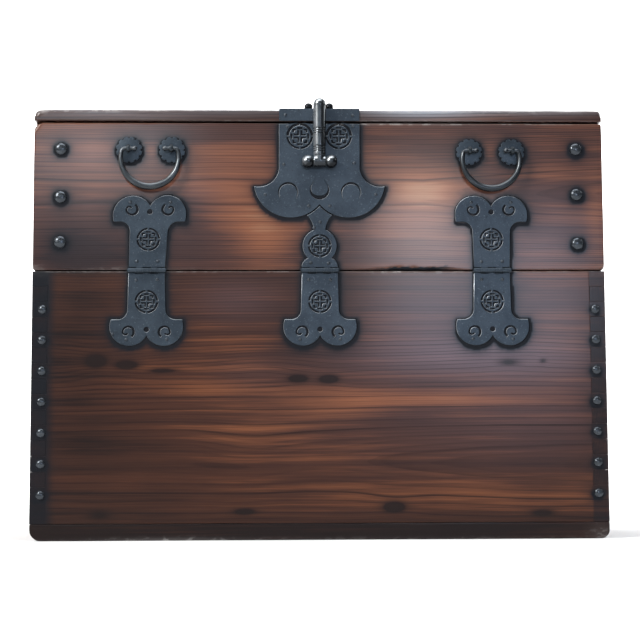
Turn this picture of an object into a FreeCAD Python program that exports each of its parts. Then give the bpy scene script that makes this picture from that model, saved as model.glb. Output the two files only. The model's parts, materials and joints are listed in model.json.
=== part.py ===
import FreeCAD, Part
import math
import os
import re

# Korean chest with a drop front (bandaji), in millimetres.
# X runs along the front, Y into the depth, Z up. The front faces -Y.
# The origin is the middle of the base, on the floor.

os.makedirs("parts", exist_ok=True)
doc = FreeCAD.newDocument("bandaji_chest")
sheet = doc.addObject("Spreadsheet::Sheet", "sizes")

# Driving sizes, one alias for each

driving_sizes = {
    # case boards
    "chest_width": 900,
    "chest_depth": 420,
    "chest_height": 677.5,
    "opening_height": 257.5,
    "board_thickness": 24,
    "bottom_thickness": 26,
    "top_thickness": 18.5,
    "hinge_line_gap": 1,
    "flap_top_gap": 3.6,
    "front_foot_height": 56.3,
    "front_finger_count": 15,
    "back_finger_count": 26,
    "top_finger_count": 15,
    "joint_gap": 0.2,
    "seam_gap": 0.5,
    "top_edge_round": 5,
    "bottom_edge_round": 15,
    "cut_overrun": 1,
    # battens behind the flap
    "batten_width": 30,
    "batten_thickness": 18,
    "batten_end_margin": 16,
    "batten_side_gap": 3,
    # dome nails
    "corner_nail_inset": 16,
    "corner_nail_head_radius": 7.25,
    "corner_nail_head_height": 3.6,
    "corner_nail_length": 44,
    "flap_nail_left_high_drop": 41.8,
    "flap_nail_left_middle_drop": 118.6,
    "flap_nail_left_low_drop": 190,
    "flap_nail_right_high_drop": 41.1,
    "flap_nail_right_middle_drop": 114,
    "flap_nail_right_low_drop": 192.5,
    "flap_nail_head_radius": 10,
    "flap_nail_head_height": 4.6,
    "flap_nail_length": 39,
    "nail_shank_radius": 2.2,
    "nail_hole_gap": 0.2,
    # iron plates and hinges
    "plate_thickness": 1.6,
    "plate_gap": 0.5,
    "hinge_side_gap": 178.5,
    "barrel_radius": 3.75,
    "barrel_length": 58,
    "barrel_gap": 0.3,
    "knuckle_count": 5,
    "knuckle_gap": 0.3,
    "hinge_pin_radius": 1.6,
    "running_gap": 0.1,
    "pin_fit_gap": 0.05,
    "pin_head_radius": 2.7,
    "pin_head_length": 1.3,
    # scrolled leaf: two round lobes on a waisted neck
    "leaf_length": 119.3,
    "leaf_root_width": 58,
    "leaf_neck_width": 61,
    "leaf_tip_height": 76.7,
    "leaf_lobe_radius": 31.2,
    "leaf_lobe_offset": 27,
    "leaf_flare_radius": 15,
    "leaf_medallion_height": 49.2,
    "leaf_scroll_height": 97,
    "leaf_scroll_offset": 28,
    "leaf_scroll_radius": 10,
    "leaf_scroll_width": 3,
    "leaf_eye_height": 93,
    "leaf_eye_radius": 4,
    "medallion_radius": 18.2,
    "medallion_slot_width": 2.6,
    "medallion_bridge": 3.2,
    # centre leaf: a round body under a pointed head
    "round_leaf_radius": 27.5,
    "round_leaf_height": 39,
    "round_leaf_shoulder": 8,
    "round_leaf_waist": 19.7,
    "round_leaf_neck_width": 20,
    "round_leaf_head_width": 42,
    # lock plate
    "lock_plate_top_gap": 0.4,
    "lock_plate_width": 129.4,
    "lock_plate_length": 151.8,
    "lock_flare_start": 67,
    "lock_flare_turn_width": 151,
    "lock_flare_turn": 93.5,
    "lock_tip_width": 208,
    "lock_lobe_radius": 59.2,
    "lock_lobe_offset": 45.3,
    "lock_medallion_radius": 20.7,
    "lock_medallion_drop": 20.6,
    "lock_medallion_offset": 30.8,
    "lock_crescent_radius": 15.4,
    "lock_crescent_width": 2.7,
    "lock_crescent_drop": 110,
    "lock_crescent_offset": 49.7,
    "lock_smile_radius": 15,
    "lock_smile_drop": 107,
    # hasp, its posts and its pin
    "hasp_pin_drop": 63.6,
    "hasp_standoff": 12.3,
    "hasp_pin_radius": 2.5,
    "hasp_rod_radius": 10,
    "hasp_foot_radius": 9.6,
    "hasp_collar_height": 10,
    "hasp_groove_depth": 0.7,
    "hasp_groove_width": 1.2,
    "hasp_groove_pitch": 4,
    "hasp_low_groove": 21,
    "hasp_high_groove": 48,
    "hasp_knuckle_radius": 8.75,
    "hasp_knuckle_width": 18.5,
    "hasp_side_gap": 0.4,
    "hasp_bend_radius": 10.2,
    "hasp_bend_drop": 3.2,
    "hasp_taper_radius": 6.8,
    "hasp_neck_radius": 6.2,
    "hasp_neck_length": 9.5,
    "hasp_post_radius": 10.3,
    "hasp_post_width": 17.5,
    "hasp_post_neck_radius": 5.5,
    "hasp_post_shank_radius": 2.8,
    "post_hole_gap": 0.2,
    "clinch_length": 16,
    "clinch_width": 5,
    "clinch_thickness": 1.6,
    # strap and posts on the top board
    "strap_width": 127.4,
    "strap_depth": 46,
    "strap_edge_margin": 0.3,
    "bar_setback": 22,
    "bar_height": 8.8,
    "bar_hole_radius": 2.8,
    "top_post_radius": 7.1,
    "top_post_width": 14,
    "top_post_neck_radius": 4.5,
    "top_post_shank_radius": 2.4,
    # drop handles
    "handle_left_side_gap": 183,
    "handle_right_side_gap": 178.5,
    "handle_left_pivot_drop": 43.4,
    "handle_right_pivot_drop": 46,
    "handle_post_spacing": 67.5,
    "handle_standoff": 12.5,
    "handle_post_radius": 6.4,
    "handle_post_width": 5.6,
    "handle_post_neck_radius": 3.4,
    "handle_post_shank_radius": 2.2,
    "rosette_radius": 20.7,
    "rosette_thickness": 3.2,
    "rosette_rim_thickness": 1.4,
    "rosette_petal_count": 12,
    "rosette_petal_notch_radius": 2.3,
    "bail_loop_radius": 45.5,
    "bail_loop_drop": 15,
    "bail_bend_radius": 6,
    "bail_end_radius": 2.9,
    "bail_shoulder_radius": 3.2,
    "bail_grip_radius": 5.4,
    "bail_ball_radius": 4,
    "bail_ball_inset": 10,
    "bail_eye_gap": 0.35,
}

# Sizes that follow from the driving ones

derived_sizes = {
    "front_face": "-chest_depth / 2",
    "back_face": "chest_depth / 2",
    "side_face": "chest_width / 2",
    "case_inner_half": "chest_width / 2 - board_thickness",
    "depth_inner_half": "chest_depth / 2 - board_thickness",
    "top_underside": "chest_height - top_thickness",
    "hinge_line": "chest_height - opening_height",
    "front_board_top": "hinge_line - hinge_line_gap",
    "flap_bottom": "hinge_line + hinge_line_gap",
    "flap_top": "top_underside - flap_top_gap",
    "finger_pitch": "(front_board_top - bottom_thickness - front_foot_height) / (front_finger_count - 1)",
    "back_finger_pitch": "(top_underside - bottom_thickness) / back_finger_count",
    "top_finger_pitch": "(chest_depth - 2 * board_thickness) / top_finger_count",
    "nail_hole_radius": "nail_shank_radius + nail_hole_gap",
    "corner_nail_offset": "side_face - corner_nail_inset",
    "batten_centre": "case_inner_half - batten_side_gap - batten_width / 2",
    "hinge_spacing": "side_face - hinge_side_gap",
    "hinge_axis_y": "front_face - barrel_gap - barrel_radius",
    "leaf_root_height": "barrel_radius + knuckle_gap",
    "knuckle_step": "barrel_length / knuckle_count",
    "lock_plate_top": "flap_top - lock_plate_top_gap",
    "hasp_pin_height": "lock_plate_top - hasp_pin_drop",
    "hasp_pin_y": "front_face - hasp_standoff",
    "hasp_post_offset": "hasp_knuckle_width / 2 + hasp_side_gap + hasp_post_width / 2",
    "plate_face": "front_face - plate_thickness",
    "bar_y": "front_face + bar_setback",
    "bar_z": "chest_height + bar_height",
    "top_post_offset": "hasp_knuckle_width / 2 + hasp_side_gap + top_post_width / 2",
    "handle_left_offset": "side_face - handle_left_side_gap",
    "handle_right_offset": "side_face - handle_right_side_gap",
    "handle_pivot_y": "front_face - handle_standoff",
    "handle_left_pivot_z": "flap_top - handle_left_pivot_drop",
    "handle_right_pivot_z": "flap_top - handle_right_pivot_drop",
    "handle_post_offset": "handle_post_spacing / 2",
}

aliases = set(driving_sizes) | set(derived_sizes)


def expression(text, prefix="sizes."):
    """Put the sheet's name before every alias in a formula."""
    return re.sub(r"[a-z_]+", lambda word: prefix * (word[0] in aliases) + word[0], text)


for row, (alias, value) in enumerate(driving_sizes.items(), 1):
    sheet.set(f"A{row}", alias)
    sheet.set(f"B{row}", str(value))
    sheet.setAlias(f"B{row}", alias)
for row, (alias, formula) in enumerate(derived_sizes.items(), 1):
    sheet.set(f"D{row}", alias)
    sheet.set(f"E{row}", "=" + formula)
    sheet.setAlias(f"E{row}", alias)
doc.recompute()
size = {alias: float(sheet.get(alias)) for alias in aliases}


# Short ways to make bound objects

def bind(item, **formulas):
    for name, formula in formulas.items():
        item.setExpression(name, expression(formula))
    return item


def put(item, x="0", y="0", z="0"):
    for axis, formula in zip("xyz", (x, y, z)):
        item.setExpression(f".Placement.Base.{axis}", expression(formula))
    return item


def box(name, x, y, z, length, width, height):
    item = doc.addObject("Part::Box", name)
    bind(item, Length=length, Width=width, Height=height)
    return put(item, x, y, z)


turns = {
    "+X": FreeCAD.Rotation(FreeCAD.Vector(0, 1, 0), 90),
    "+Y": FreeCAD.Rotation(FreeCAD.Vector(1, 0, 0), -90),
    "-Y": FreeCAD.Rotation(FreeCAD.Vector(1, 0, 0), 90),
    "+Z": FreeCAD.Rotation(),
    "-Z": FreeCAD.Rotation(FreeCAD.Vector(1, 0, 0), 180),
}


def cylinder(name, toward, x, y, z, radius, height):
    item = doc.addObject("Part::Cylinder", name)
    item.Placement = FreeCAD.Placement(FreeCAD.Vector(), turns[toward])
    bind(item, Radius=radius, Height=height)
    return put(item, x, y, z)


def cone(name, toward, x, y, z, radius_start, radius_end, height):
    item = doc.addObject("Part::Cone", name)
    item.Placement = FreeCAD.Placement(FreeCAD.Vector(), turns[toward])
    bind(item, Radius1=radius_start, Radius2=radius_end, Height=height)
    return put(item, x, y, z)


def ball(name, toward, x, y, z, radius, width=None):
    """A ball, with flat sides a given width apart where it has a width."""
    item = doc.addObject("Part::Sphere", name)
    item.Placement = FreeCAD.Placement(FreeCAD.Vector(), turns[toward])
    bind(item, Radius=radius)
    if width:
        half_angle = f"asin(({width}) / (2 * ({radius})))"
        bind(item, Angle1="-" + half_angle, Angle2=half_angle)
    return put(item, x, y, z)


def fuse(name, pieces):
    item = doc.addObject("Part::MultiFuse", name)
    item.Shapes = pieces
    item.Refine = True
    return item


def cut(name, base, tool):
    item = doc.addObject("Part::Cut", name)
    item.Base = base
    item.Tool = tool
    item.Refine = True
    return item


def common(name, base, tool):
    item = doc.addObject("Part::Common", name)
    item.Base = base
    item.Tool = tool
    return item


def group(name, pieces):
    item = doc.addObject("Part::Compound", name)
    item.Links = pieces
    return item


# Sketched bodies

def new_sketch(body, name, role, geometry):
    plane = next(item for item in body.Origin.OriginFeatures if item.Role == role)
    drawing = body.newObject("Sketcher::SketchObject", name)
    drawing.AttachmentSupport = (plane, [""])
    drawing.MapMode = "FlatFace"
    drawing.addGeometry(geometry, False)
    return drawing


def pad(body, name, drawing, length):
    feature = body.newObject("PartDesign::Pad", name)
    feature.Profile = drawing
    bind(feature, Length=length)
    return feature


def pierce(body, name, drawing):
    """Cut a sketch's shapes through the plate that stands on the sketch's plane."""
    feature = body.newObject("PartDesign::Pocket", name)
    feature.Profile = drawing
    feature.Type = "ThroughAll"
    feature.Reversed = True
    return feature


def point(x, z):
    return FreeCAD.Vector(x, z, 0)


def polar(centre, radius, degrees):
    angle = math.radians(degrees)
    return point(centre[0] + radius * math.cos(angle), centre[1] + radius * math.sin(angle))


def lines(points):
    """Straight edges through the points and back to the first."""
    return [Part.LineSegment(a, b) for a, b in zip(points, points[1:] + points[:1])]


def arc(start, middle, end):
    return Part.ArcOfCircle(start, middle, end)


def circle(centre, radius):
    return Part.Circle(point(*centre), FreeCAD.Vector(0, 0, 1), radius)


def rectangle(centre, width, height):
    left, right = centre[0] - width / 2, centre[0] + width / 2
    low, high = centre[1] - height / 2, centre[1] + height / 2
    return lines([point(left, low), point(right, low), point(right, high), point(left, high)])


def mirrored(half, lean_share=0):
    """Edges of a right half, from its foot to its tip, and the same edges on the left, leaning if asked."""
    foot = half[0][1].y

    def leaned(side, p):
        return point(side * p.x + lean_share * (p.y - foot), p.y)

    return [kind(*[leaned(side, p) for p in points]) for side in (1, -1) for kind, *points in half]


# Piercings

quarter_turn = 90
fret_width_share = 0.12
fret_inner_shares = (0.065, 0.46)
fret_outer_shares = (0.3, 0.56)
fret_bar_offset_share = 0.64
fret_bar_length_share = 0.4


def hook(centre, side, level, near, far, width, corner_out):
    """An L-shaped slot in one quarter of a round, its corner at its near or its far end."""
    corner, tip = (far, near) if corner_out else (near, far)
    inward = -width if corner_out else width
    steps = [(corner, corner), (tip, corner), (tip, corner + inward)]
    steps += [(corner + inward, corner + inward), (corner + inward, tip), (corner, tip)]
    return lines([point(centre[0] + side * x, centre[1] + level * z) for x, z in steps])


def medallion(centre, radius):
    """A pierced round: a broken ring round a fret of hooks and bars, the same in all four quarters."""
    inner = radius - size["medallion_slot_width"]
    outer_turn = math.degrees(size["medallion_bridge"] / 2 / radius)
    inner_turn = math.degrees(size["medallion_bridge"] / 2 / inner)
    edges = []
    for quarter in range(4):
        start, end = quarter_turn * quarter, quarter_turn * (quarter + 1)
        middle = (start + end) / 2
        outer_ends = polar(centre, radius, start + outer_turn), polar(centre, radius, end - outer_turn)
        inner_ends = polar(centre, inner, start + inner_turn), polar(centre, inner, end - inner_turn)
        edges.append(arc(outer_ends[0], polar(centre, radius, middle), outer_ends[1]))
        edges.append(Part.LineSegment(outer_ends[1], inner_ends[1]))
        edges.append(arc(inner_ends[1], polar(centre, inner, middle), inner_ends[0]))
        edges.append(Part.LineSegment(inner_ends[0], outer_ends[0]))
    width = fret_width_share * radius
    for shares, corner_out in ((fret_inner_shares, False), (fret_outer_shares, True)):
        near, far = (share * radius for share in shares)
        for side in (-1, 1):
            for level in (-1, 1):
                edges += hook(centre, side, level, near, far, width, corner_out)
    bar_offset = fret_bar_offset_share * radius
    bar_length = fret_bar_length_share * radius
    for side in (-1, 1):
        edges += rectangle((centre[0] + side * bar_offset, centre[1]), width, bar_length)
        edges += rectangle((centre[0], centre[1] + side * bar_offset), bar_length, width)
    return edges


def crescent(centre, radius, width, facing, spread):
    """A new-moon slot, thickest where it faces, whose horns end a spread to each side."""
    horns = polar(centre, radius, facing - spread), polar(centre, radius, facing + spread)
    return [
        arc(horns[0], polar(centre, radius, facing), horns[1]),
        arc(horns[1], polar(centre, radius - width, facing), horns[0]),
    ]


scroll_curl_share = 0.52
scroll_taper_share = 0.75
scroll_start_angle = 125
scroll_middle_angle = 242
scroll_curl_angle = 150


def scroll(centre, radius, width, side, direction):
    """A hooked slot: from the top of its inner side round its foot and up, then curling in."""
    curl = scroll_curl_share * radius
    curl_centre = (radius - curl, 0)
    narrow = scroll_taper_share * width
    middle = scroll_curl_angle / 2
    start, turn, end = scroll_start_angle, scroll_middle_angle, scroll_curl_angle
    around = (0, 0)
    outer_join, inner_join = point(radius, 0), point(radius - narrow, 0)
    outer_end, inner_end = polar(curl_centre, curl, end), polar(curl_centre, curl - narrow, end)
    outer_start, inner_start = polar(around, radius, start), polar(around, radius - width, start)
    shape = [
        (arc, outer_start, polar(around, radius, turn), outer_join),
        (arc, outer_join, polar(curl_centre, curl, middle), outer_end),
        (Part.LineSegment, outer_end, inner_end),
        (arc, inner_end, polar(curl_centre, curl - narrow, middle), inner_join),
        (arc, inner_join, polar(around, radius - width, turn), inner_start),
        (Part.LineSegment, inner_start, outer_start),
    ]
    return [
        kind(*[point(centre[0] + side * p.x, centre[1] + direction * p.y) for p in points])
        for kind, *points in shape]


# Case boards

carcass = doc.addObject("PartDesign::Body", "carcass_outline")
half_width, height = size["side_face"], size["chest_height"]
top_round, bottom_round = size["top_edge_round"], size["bottom_edge_round"]
top_centre = (half_width - top_round, height - top_round)
bottom_centre = (half_width - bottom_round, bottom_round)
outline = mirrored([
    (Part.LineSegment, point(0, 0), point(bottom_centre[0], 0)),
    (arc, point(bottom_centre[0], 0), polar(bottom_centre, bottom_round, -45), point(half_width, bottom_round)),
    (Part.LineSegment, point(half_width, bottom_round), point(half_width, top_centre[1])),
    (arc, point(half_width, top_centre[1]), polar(top_centre, top_round, 45), point(top_centre[0], height)),
    (Part.LineSegment, point(top_centre[0], height), point(0, height)),
])
pad(carcass, "carcass_depth", new_sketch(carcass, "carcass_section", "XZ_Plane", outline), "chest_depth")
put(carcass, y="back_face")

nodes = {}


def teeth(name, blocks, place):
    """One box for each numbered block of a finger joint."""
    return [box(f"{name}_{block}", *place(block)) for block in blocks]


def sides():
    """The two ends of the chest: name, sign and the low X of a board's thickness there."""
    yield "left", "-1", "-side_face"
    yield "right", "1", "case_inner_half"


front_blocks = range(int(size["front_finger_count"]))
back_blocks = range(int(size["back_finger_count"]))
top_blocks = range(int(size["top_finger_count"]))
back_split = len(back_blocks) // 2
tooth_height = "finger_pitch - joint_gap"
back_tooth_height = "back_finger_pitch - joint_gap"
top_tooth_width = "top_finger_pitch - joint_gap"
tooth_reach = "board_thickness + joint_gap"


def front_level(block):
    return f"front_board_top - finger_pitch * {block + 1} + joint_gap / 2"


def back_level(block):
    return f"bottom_thickness + back_finger_pitch * {block} + joint_gap / 2"


def top_place(block):
    return f"-depth_inner_half + top_finger_pitch * {block} + joint_gap / 2"


def board_core(name, y, z, height):
    return box(
        name, "-case_inner_half + joint_gap", y, z,
        "2 * (case_inner_half - joint_gap)", "board_thickness", height,
    )


bottom_box = box("bottom_box", "-side_face", "front_face", "0", "chest_width", "chest_depth", "bottom_thickness")
nodes["bottom_board"] = common("bottom_board", bottom_box, carcass)

side_boards = {}
for name, sign, low_x in sides():
    core = box(
        f"side_core_{name}", low_x, "-depth_inner_half + joint_gap", "bottom_thickness",
        "board_thickness", "2 * (depth_inner_half - joint_gap)", "top_underside - bottom_thickness",
    )
    comb = [core]
    comb += teeth(f"side_front_{name}", front_blocks[1::2], lambda block: (
        low_x, "front_face", front_level(block), "board_thickness", tooth_reach, tooth_height))
    comb += teeth(f"side_back_{name}", back_blocks[1::2], lambda block: (
        low_x, "depth_inner_half - joint_gap", back_level(block),
        "board_thickness", tooth_reach, back_tooth_height))
    comb += teeth(f"side_top_{name}", top_blocks[0::2], lambda block: (
        low_x, top_place(block), "top_underside", "board_thickness", top_tooth_width, "top_thickness"))
    side_boards[name] = common(f"side_rounded_{name}", fuse(f"side_comb_{name}", comb), carcass)

front_comb = [board_core("front_core", "front_face", "bottom_thickness", "front_board_top - bottom_thickness")]
lower_comb = [board_core(
    "back_lower_core", "depth_inner_half", "bottom_thickness",
    f"back_finger_pitch * {back_split} - seam_gap / 2")]
upper_comb = [board_core(
    "back_upper_core", "depth_inner_half", f"bottom_thickness + back_finger_pitch * {back_split} + seam_gap / 2",
    f"back_finger_pitch * {len(back_blocks) - back_split} - seam_gap / 2")]
top_comb = [box(
    "top_core", "-case_inner_half + joint_gap", "front_face", "top_underside",
    "2 * (case_inner_half - joint_gap)", "chest_depth", "top_thickness")]
for name, sign, low_x in sides():
    reach_x = "-side_face" if name == "left" else "case_inner_half - joint_gap"
    front_comb += teeth(f"front_{name}", front_blocks[0:-1:2], lambda block: (
        reach_x, "front_face", front_level(block), tooth_reach, "board_thickness", tooth_height))
    front_comb.append(box(
        f"front_foot_{name}", reach_x, "front_face", "bottom_thickness", tooth_reach, "board_thickness",
        "front_foot_height - joint_gap / 2"))
    lower_comb += teeth(f"back_lower_{name}", back_blocks[0:back_split:2], lambda block: (
        reach_x, "depth_inner_half", back_level(block), tooth_reach, "board_thickness", back_tooth_height))
    upper_comb += teeth(f"back_upper_{name}", back_blocks[back_split + back_split % 2::2], lambda block: (
        reach_x, "depth_inner_half", back_level(block), tooth_reach, "board_thickness", back_tooth_height))
    top_comb.append(box(
        f"top_front_{name}", reach_x, "front_face", "top_underside",
        tooth_reach, "board_thickness", "top_thickness"))
    top_comb.append(box(
        f"top_back_{name}", reach_x, "depth_inner_half", "top_underside",
        tooth_reach, "board_thickness", "top_thickness"))
    top_comb += teeth(f"top_{name}", top_blocks[1::2], lambda block: (
        reach_x, top_place(block), "top_underside", tooth_reach, top_tooth_width, "top_thickness"))

nodes["back_board_lower"] = fuse("back_board_lower", lower_comb)
nodes["back_board_upper"] = fuse("back_board_upper", upper_comb)


# Dome nails

def dome_nail(name, x, z, radius, height, length):
    """A nail driven in from the front: a shallow dome on a round shank."""
    dome_radius = f"(({radius}) ^ 2 + ({height}) ^ 2) / (2 * ({height}))"
    head = doc.addObject("Part::Sphere", f"{name}_head")
    head.Placement = FreeCAD.Placement(FreeCAD.Vector(), turns["-Y"])
    bind(head, Radius=dome_radius, Angle1=f"acos({radius} / ({dome_radius}))")
    put(head, x, f"front_face + {dome_radius} - {height}", z)
    shank = cylinder(f"{name}_shank", "+Y", x, "front_face - cut_overrun", z, "nail_shank_radius",
        f"{length} + cut_overrun")
    return fuse(name, [head, shank])


def nail_hole(name, x, z, length):
    return cylinder(
        name, "+Y", x, "front_face - cut_overrun", z,
        "nail_hole_radius", f"{length} + 2 * cut_overrun",
    )


flap_nail_rows = ("high", "middle", "low")
flap_nail_holes = {}
corner_holes = {}
for name, sign, low_x in sides():
    corner_x = f"{sign} * corner_nail_offset"
    levels = [f"front_board_top - finger_pitch * {block + 0.5}" for block in front_blocks[2::2]]
    nodes[f"corner_nails_{name}"] = group(f"corner_nails_{name}", [
        dome_nail(
            f"corner_nail_{name}_{row}", corner_x, level,
            "corner_nail_head_radius", "corner_nail_head_height", "corner_nail_length")
        for row, level in enumerate(levels)])
    corner_holes[name] = [
        nail_hole(f"corner_hole_{name}_{row}", corner_x, level, "corner_nail_length")
        for row, level in enumerate(levels)]
    flap_x = f"{sign} * batten_centre"
    levels = {row: f"flap_top - flap_nail_{name}_{row}_drop" for row in flap_nail_rows}
    nodes[f"flap_nails_{name}"] = group(f"flap_nails_{name}", [
        dome_nail(
            f"flap_nail_{name}_{row}", flap_x, level,
            "flap_nail_head_radius", "flap_nail_head_height", "flap_nail_length")
        for row, level in levels.items()])
    flap_nail_holes[name] = [
        nail_hole(f"flap_hole_{name}_{row}", flap_x, level, "flap_nail_length")
        for row, level in levels.items()]

for name in side_boards:
    drilled = cut(f"side_board_{name}", side_boards[name], group(f"side_holes_{name}", corner_holes[name]))
    nodes[f"side_board_{name}"] = drilled
nodes["front_board"] = cut(
    "front_board", fuse("front_comb", front_comb),
    group("front_holes", corner_holes["left"] + corner_holes["right"]))


# Pierced iron plates. A plate's sketch lies on the board's face and the plate stands out of it.

def plate_body(name, outline, holes):
    body = doc.addObject("PartDesign::Body", name)
    pad(body, f"{name}_sheet", new_sketch(body, f"{name}_outline", "XZ_Plane", outline), "plate_thickness")
    pierce(body, f"{name}_pierced", new_sketch(body, f"{name}_piercings", "XZ_Plane", holes))
    return body


flare_middle_angle = 135
lobe_middle_angle = 65
left_lean_share = 0.05


def scrolled_leaf(direction, lean_share=0):
    """Outline and piercings of a two-lobed leaf that runs up (1) or down (-1) from its barrel."""
    lobe, offset = size["leaf_lobe_radius"], size["leaf_lobe_offset"]
    lobe_height = size["leaf_length"] - lobe
    ledge = size["leaf_tip_height"]
    tip = offset + math.sqrt(lobe ** 2 - (lobe_height - ledge) ** 2)
    notch = lobe_height + math.sqrt(lobe ** 2 - offset ** 2)
    neck, flare = size["leaf_neck_width"] / 2, size["leaf_flare_radius"]
    flare_centre = (neck + flare, ledge - flare)
    root, foot = size["leaf_root_width"] / 2, size["leaf_root_height"]
    half = [
        (Part.LineSegment, point(0, foot), point(root, foot)),
        (Part.LineSegment, point(root, foot), point(neck, flare_centre[1])),
        (arc, point(neck, flare_centre[1]), polar(flare_centre, flare, flare_middle_angle),
            point(flare_centre[0], ledge)),
        (Part.LineSegment, point(flare_centre[0], ledge), point(tip, ledge)),
        (arc, point(tip, ledge), polar((offset, lobe_height), lobe, lobe_middle_angle), point(0, notch)),
    ]
    if direction < 0:
        half = [(kind, *[point(p.x, -p.y) for p in points]) for kind, *points in half]

    def place(x, height):
        return x + lean_share * (height - foot), direction * height

    holes = medallion(place(0, size["leaf_medallion_height"]), size["medallion_radius"])
    for side in (-1, 1):
        holes += scroll(
            place(side * size["leaf_scroll_offset"], size["leaf_scroll_height"]),
            size["leaf_scroll_radius"], size["leaf_scroll_width"], side, direction)
    holes.append(circle(place(0, size["leaf_eye_height"]), size["leaf_eye_radius"]))
    return mirrored(half, lean_share), holes


lobe_height = size["lock_plate_top"] - size["lock_plate_length"] + size["lock_lobe_radius"]


def round_leaf():
    """Outline and piercings of the centre leaf, whose pointed head fits under the lock plate's cusp."""
    foot, root = size["leaf_root_height"], size["barrel_length"] / 2
    centre = (0, size["round_leaf_height"])
    radius = size["round_leaf_radius"]
    waist = size["round_leaf_waist"]
    waist_half = math.sqrt(radius ** 2 - (centre[1] - waist) ** 2)
    shoulder = size["round_leaf_shoulder"]
    neck_half = size["round_leaf_neck_width"] / 2
    neck = centre[1] + math.sqrt(radius ** 2 - neck_half ** 2)
    head_half = size["round_leaf_head_width"] / 2
    lobe = (size["lock_lobe_offset"], lobe_height - size["hinge_line"])
    clear = size["lock_lobe_radius"] + size["plate_gap"]

    def under_lobe(x):
        return point(x, lobe[1] - math.sqrt(clear ** 2 - (x - lobe[0]) ** 2))

    corner = under_lobe(head_half)
    shoulder_mid = point((root * 3 + waist_half) / 4, (shoulder + waist) / 2)
    side_angle = 0
    neck_mid = point((neck_half * 3 + head_half) / 4, (neck + corner.y) / 2)
    half = [
        (Part.LineSegment, point(0, foot), point(root, foot)),
        (Part.LineSegment, point(root, foot), point(root, shoulder)),
        (arc, point(root, shoulder), shoulder_mid, point(waist_half, waist)),
        (arc, point(waist_half, waist), polar(centre, radius, side_angle), point(neck_half, neck)),
        (arc, point(neck_half, neck), neck_mid, corner),
        (arc, corner, under_lobe(head_half / 2), under_lobe(0)),
    ]
    return mirrored(half), medallion(centre, size["medallion_radius"])


def knuckle_span(index):
    start = f"(knuckle_step * {index} - barrel_length / 2 + knuckle_gap / 2)"
    return start, "(knuckle_step - knuckle_gap)"


def leaf(name, x, direction, outline, holes, indexes):
    """A hinge leaf: its pierced plate, the knuckles that it owns and the tabs that carry them."""
    plate = put(plate_body(f"{name}_plate", outline, holes), x, "front_face", "hinge_line")
    pieces = [plate]
    tab_z = "hinge_line" if direction > 0 else "hinge_line - leaf_root_height"
    for index in indexes:
        start, span = knuckle_span(index)
        low = f"{x} + {start}"
        pieces.append(cylinder(
            f"{name}_knuckle_{index}", "+X", low, "hinge_axis_y", "hinge_line", "barrel_radius", span))
        pieces.append(box(
            f"{name}_tab_{index}", low, "plate_face", tab_z, span, "plate_thickness", "leaf_root_height"))
    bore = cylinder(
        f"{name}_bore", "+X", f"{x} - barrel_length / 2 - cut_overrun", "hinge_axis_y", "hinge_line",
        "hinge_pin_radius + running_gap", "barrel_length + 2 * cut_overrun")
    return cut(name, fuse(f"{name}_solid", pieces), bore)


knuckles = range(int(size["knuckle_count"]))
hinge_places = {"left": "-hinge_spacing", "centre": "0", "right": "hinge_spacing"}
for name, x in hinge_places.items():
    lower = f"hinge_{name}_lower_leaf"
    upper = f"hinge_{name}_upper_leaf"
    lean_share = left_lean_share if name == "left" else 0
    upper_shape = round_leaf() if name == "centre" else scrolled_leaf(1, lean_share)
    nodes[lower] = leaf(lower, x, -1, *scrolled_leaf(-1), knuckles[0::2])
    nodes[upper] = leaf(upper, x, 1, *upper_shape, knuckles[1::2])
    pin = f"hinge_{name}_pin"
    nodes[pin] = fuse(pin, [
        cylinder(
            f"{pin}_shaft", "+X", f"{x} - barrel_length / 2", "hinge_axis_y", "hinge_line",
            "hinge_pin_radius", "barrel_length"),
        cylinder(
            f"{pin}_head", "+X", f"{x} + barrel_length / 2", "hinge_axis_y", "hinge_line",
            "pin_head_radius", "pin_head_length"),
        cylinder(
            f"{pin}_rivet", "+X", f"{x} - barrel_length / 2 - pin_head_length", "hinge_axis_y", "hinge_line",
            "pin_head_radius", "pin_head_length"),
    ])


# Lock plate

crescent_spread = 112


def lock_plate_shape():
    """Outline and piercings of the lock plate, with heights counted from its top edge."""
    half_width = size["lock_plate_width"] / 2
    flare_start = -size["lock_flare_start"]
    turn = point(size["lock_flare_turn_width"] / 2, -size["lock_flare_turn"])
    lobe, offset = size["lock_lobe_radius"], size["lock_lobe_offset"]
    centre = (offset, lobe - size["lock_plate_length"])
    tip_half = size["lock_tip_width"] / 2
    tip = point(tip_half, centre[1] - math.sqrt(lobe ** 2 - (tip_half - offset) ** 2))
    cusp = point(0, centre[1] - math.sqrt(lobe ** 2 - offset ** 2))
    half = [
        (Part.LineSegment, point(0, 0), point(half_width, 0)),
        (Part.LineSegment, point(half_width, 0), point(half_width, flare_start)),
        (arc, point(half_width, flare_start), turn, tip),
        (arc, tip, polar(centre, lobe, -90), cusp),
    ]
    holes = []
    for side in (-1, 1):
        holes += medallion(
            (side * size["lock_medallion_offset"], -size["lock_medallion_drop"]), size["lock_medallion_radius"])
        holes += crescent(
            (side * size["lock_crescent_offset"], -size["lock_crescent_drop"]), size["lock_crescent_radius"],
            size["lock_crescent_width"], quarter_turn, crescent_spread)
        holes.append(circle(
            (side * size["hasp_post_offset"], -size["hasp_pin_drop"]),
            size["hasp_post_shank_radius"] + size["post_hole_gap"]))
    return mirrored(half), holes + smile()


smile_horn_angle = 36
smile_point_share = 0.6
smile_side_share = 0.78


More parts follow.
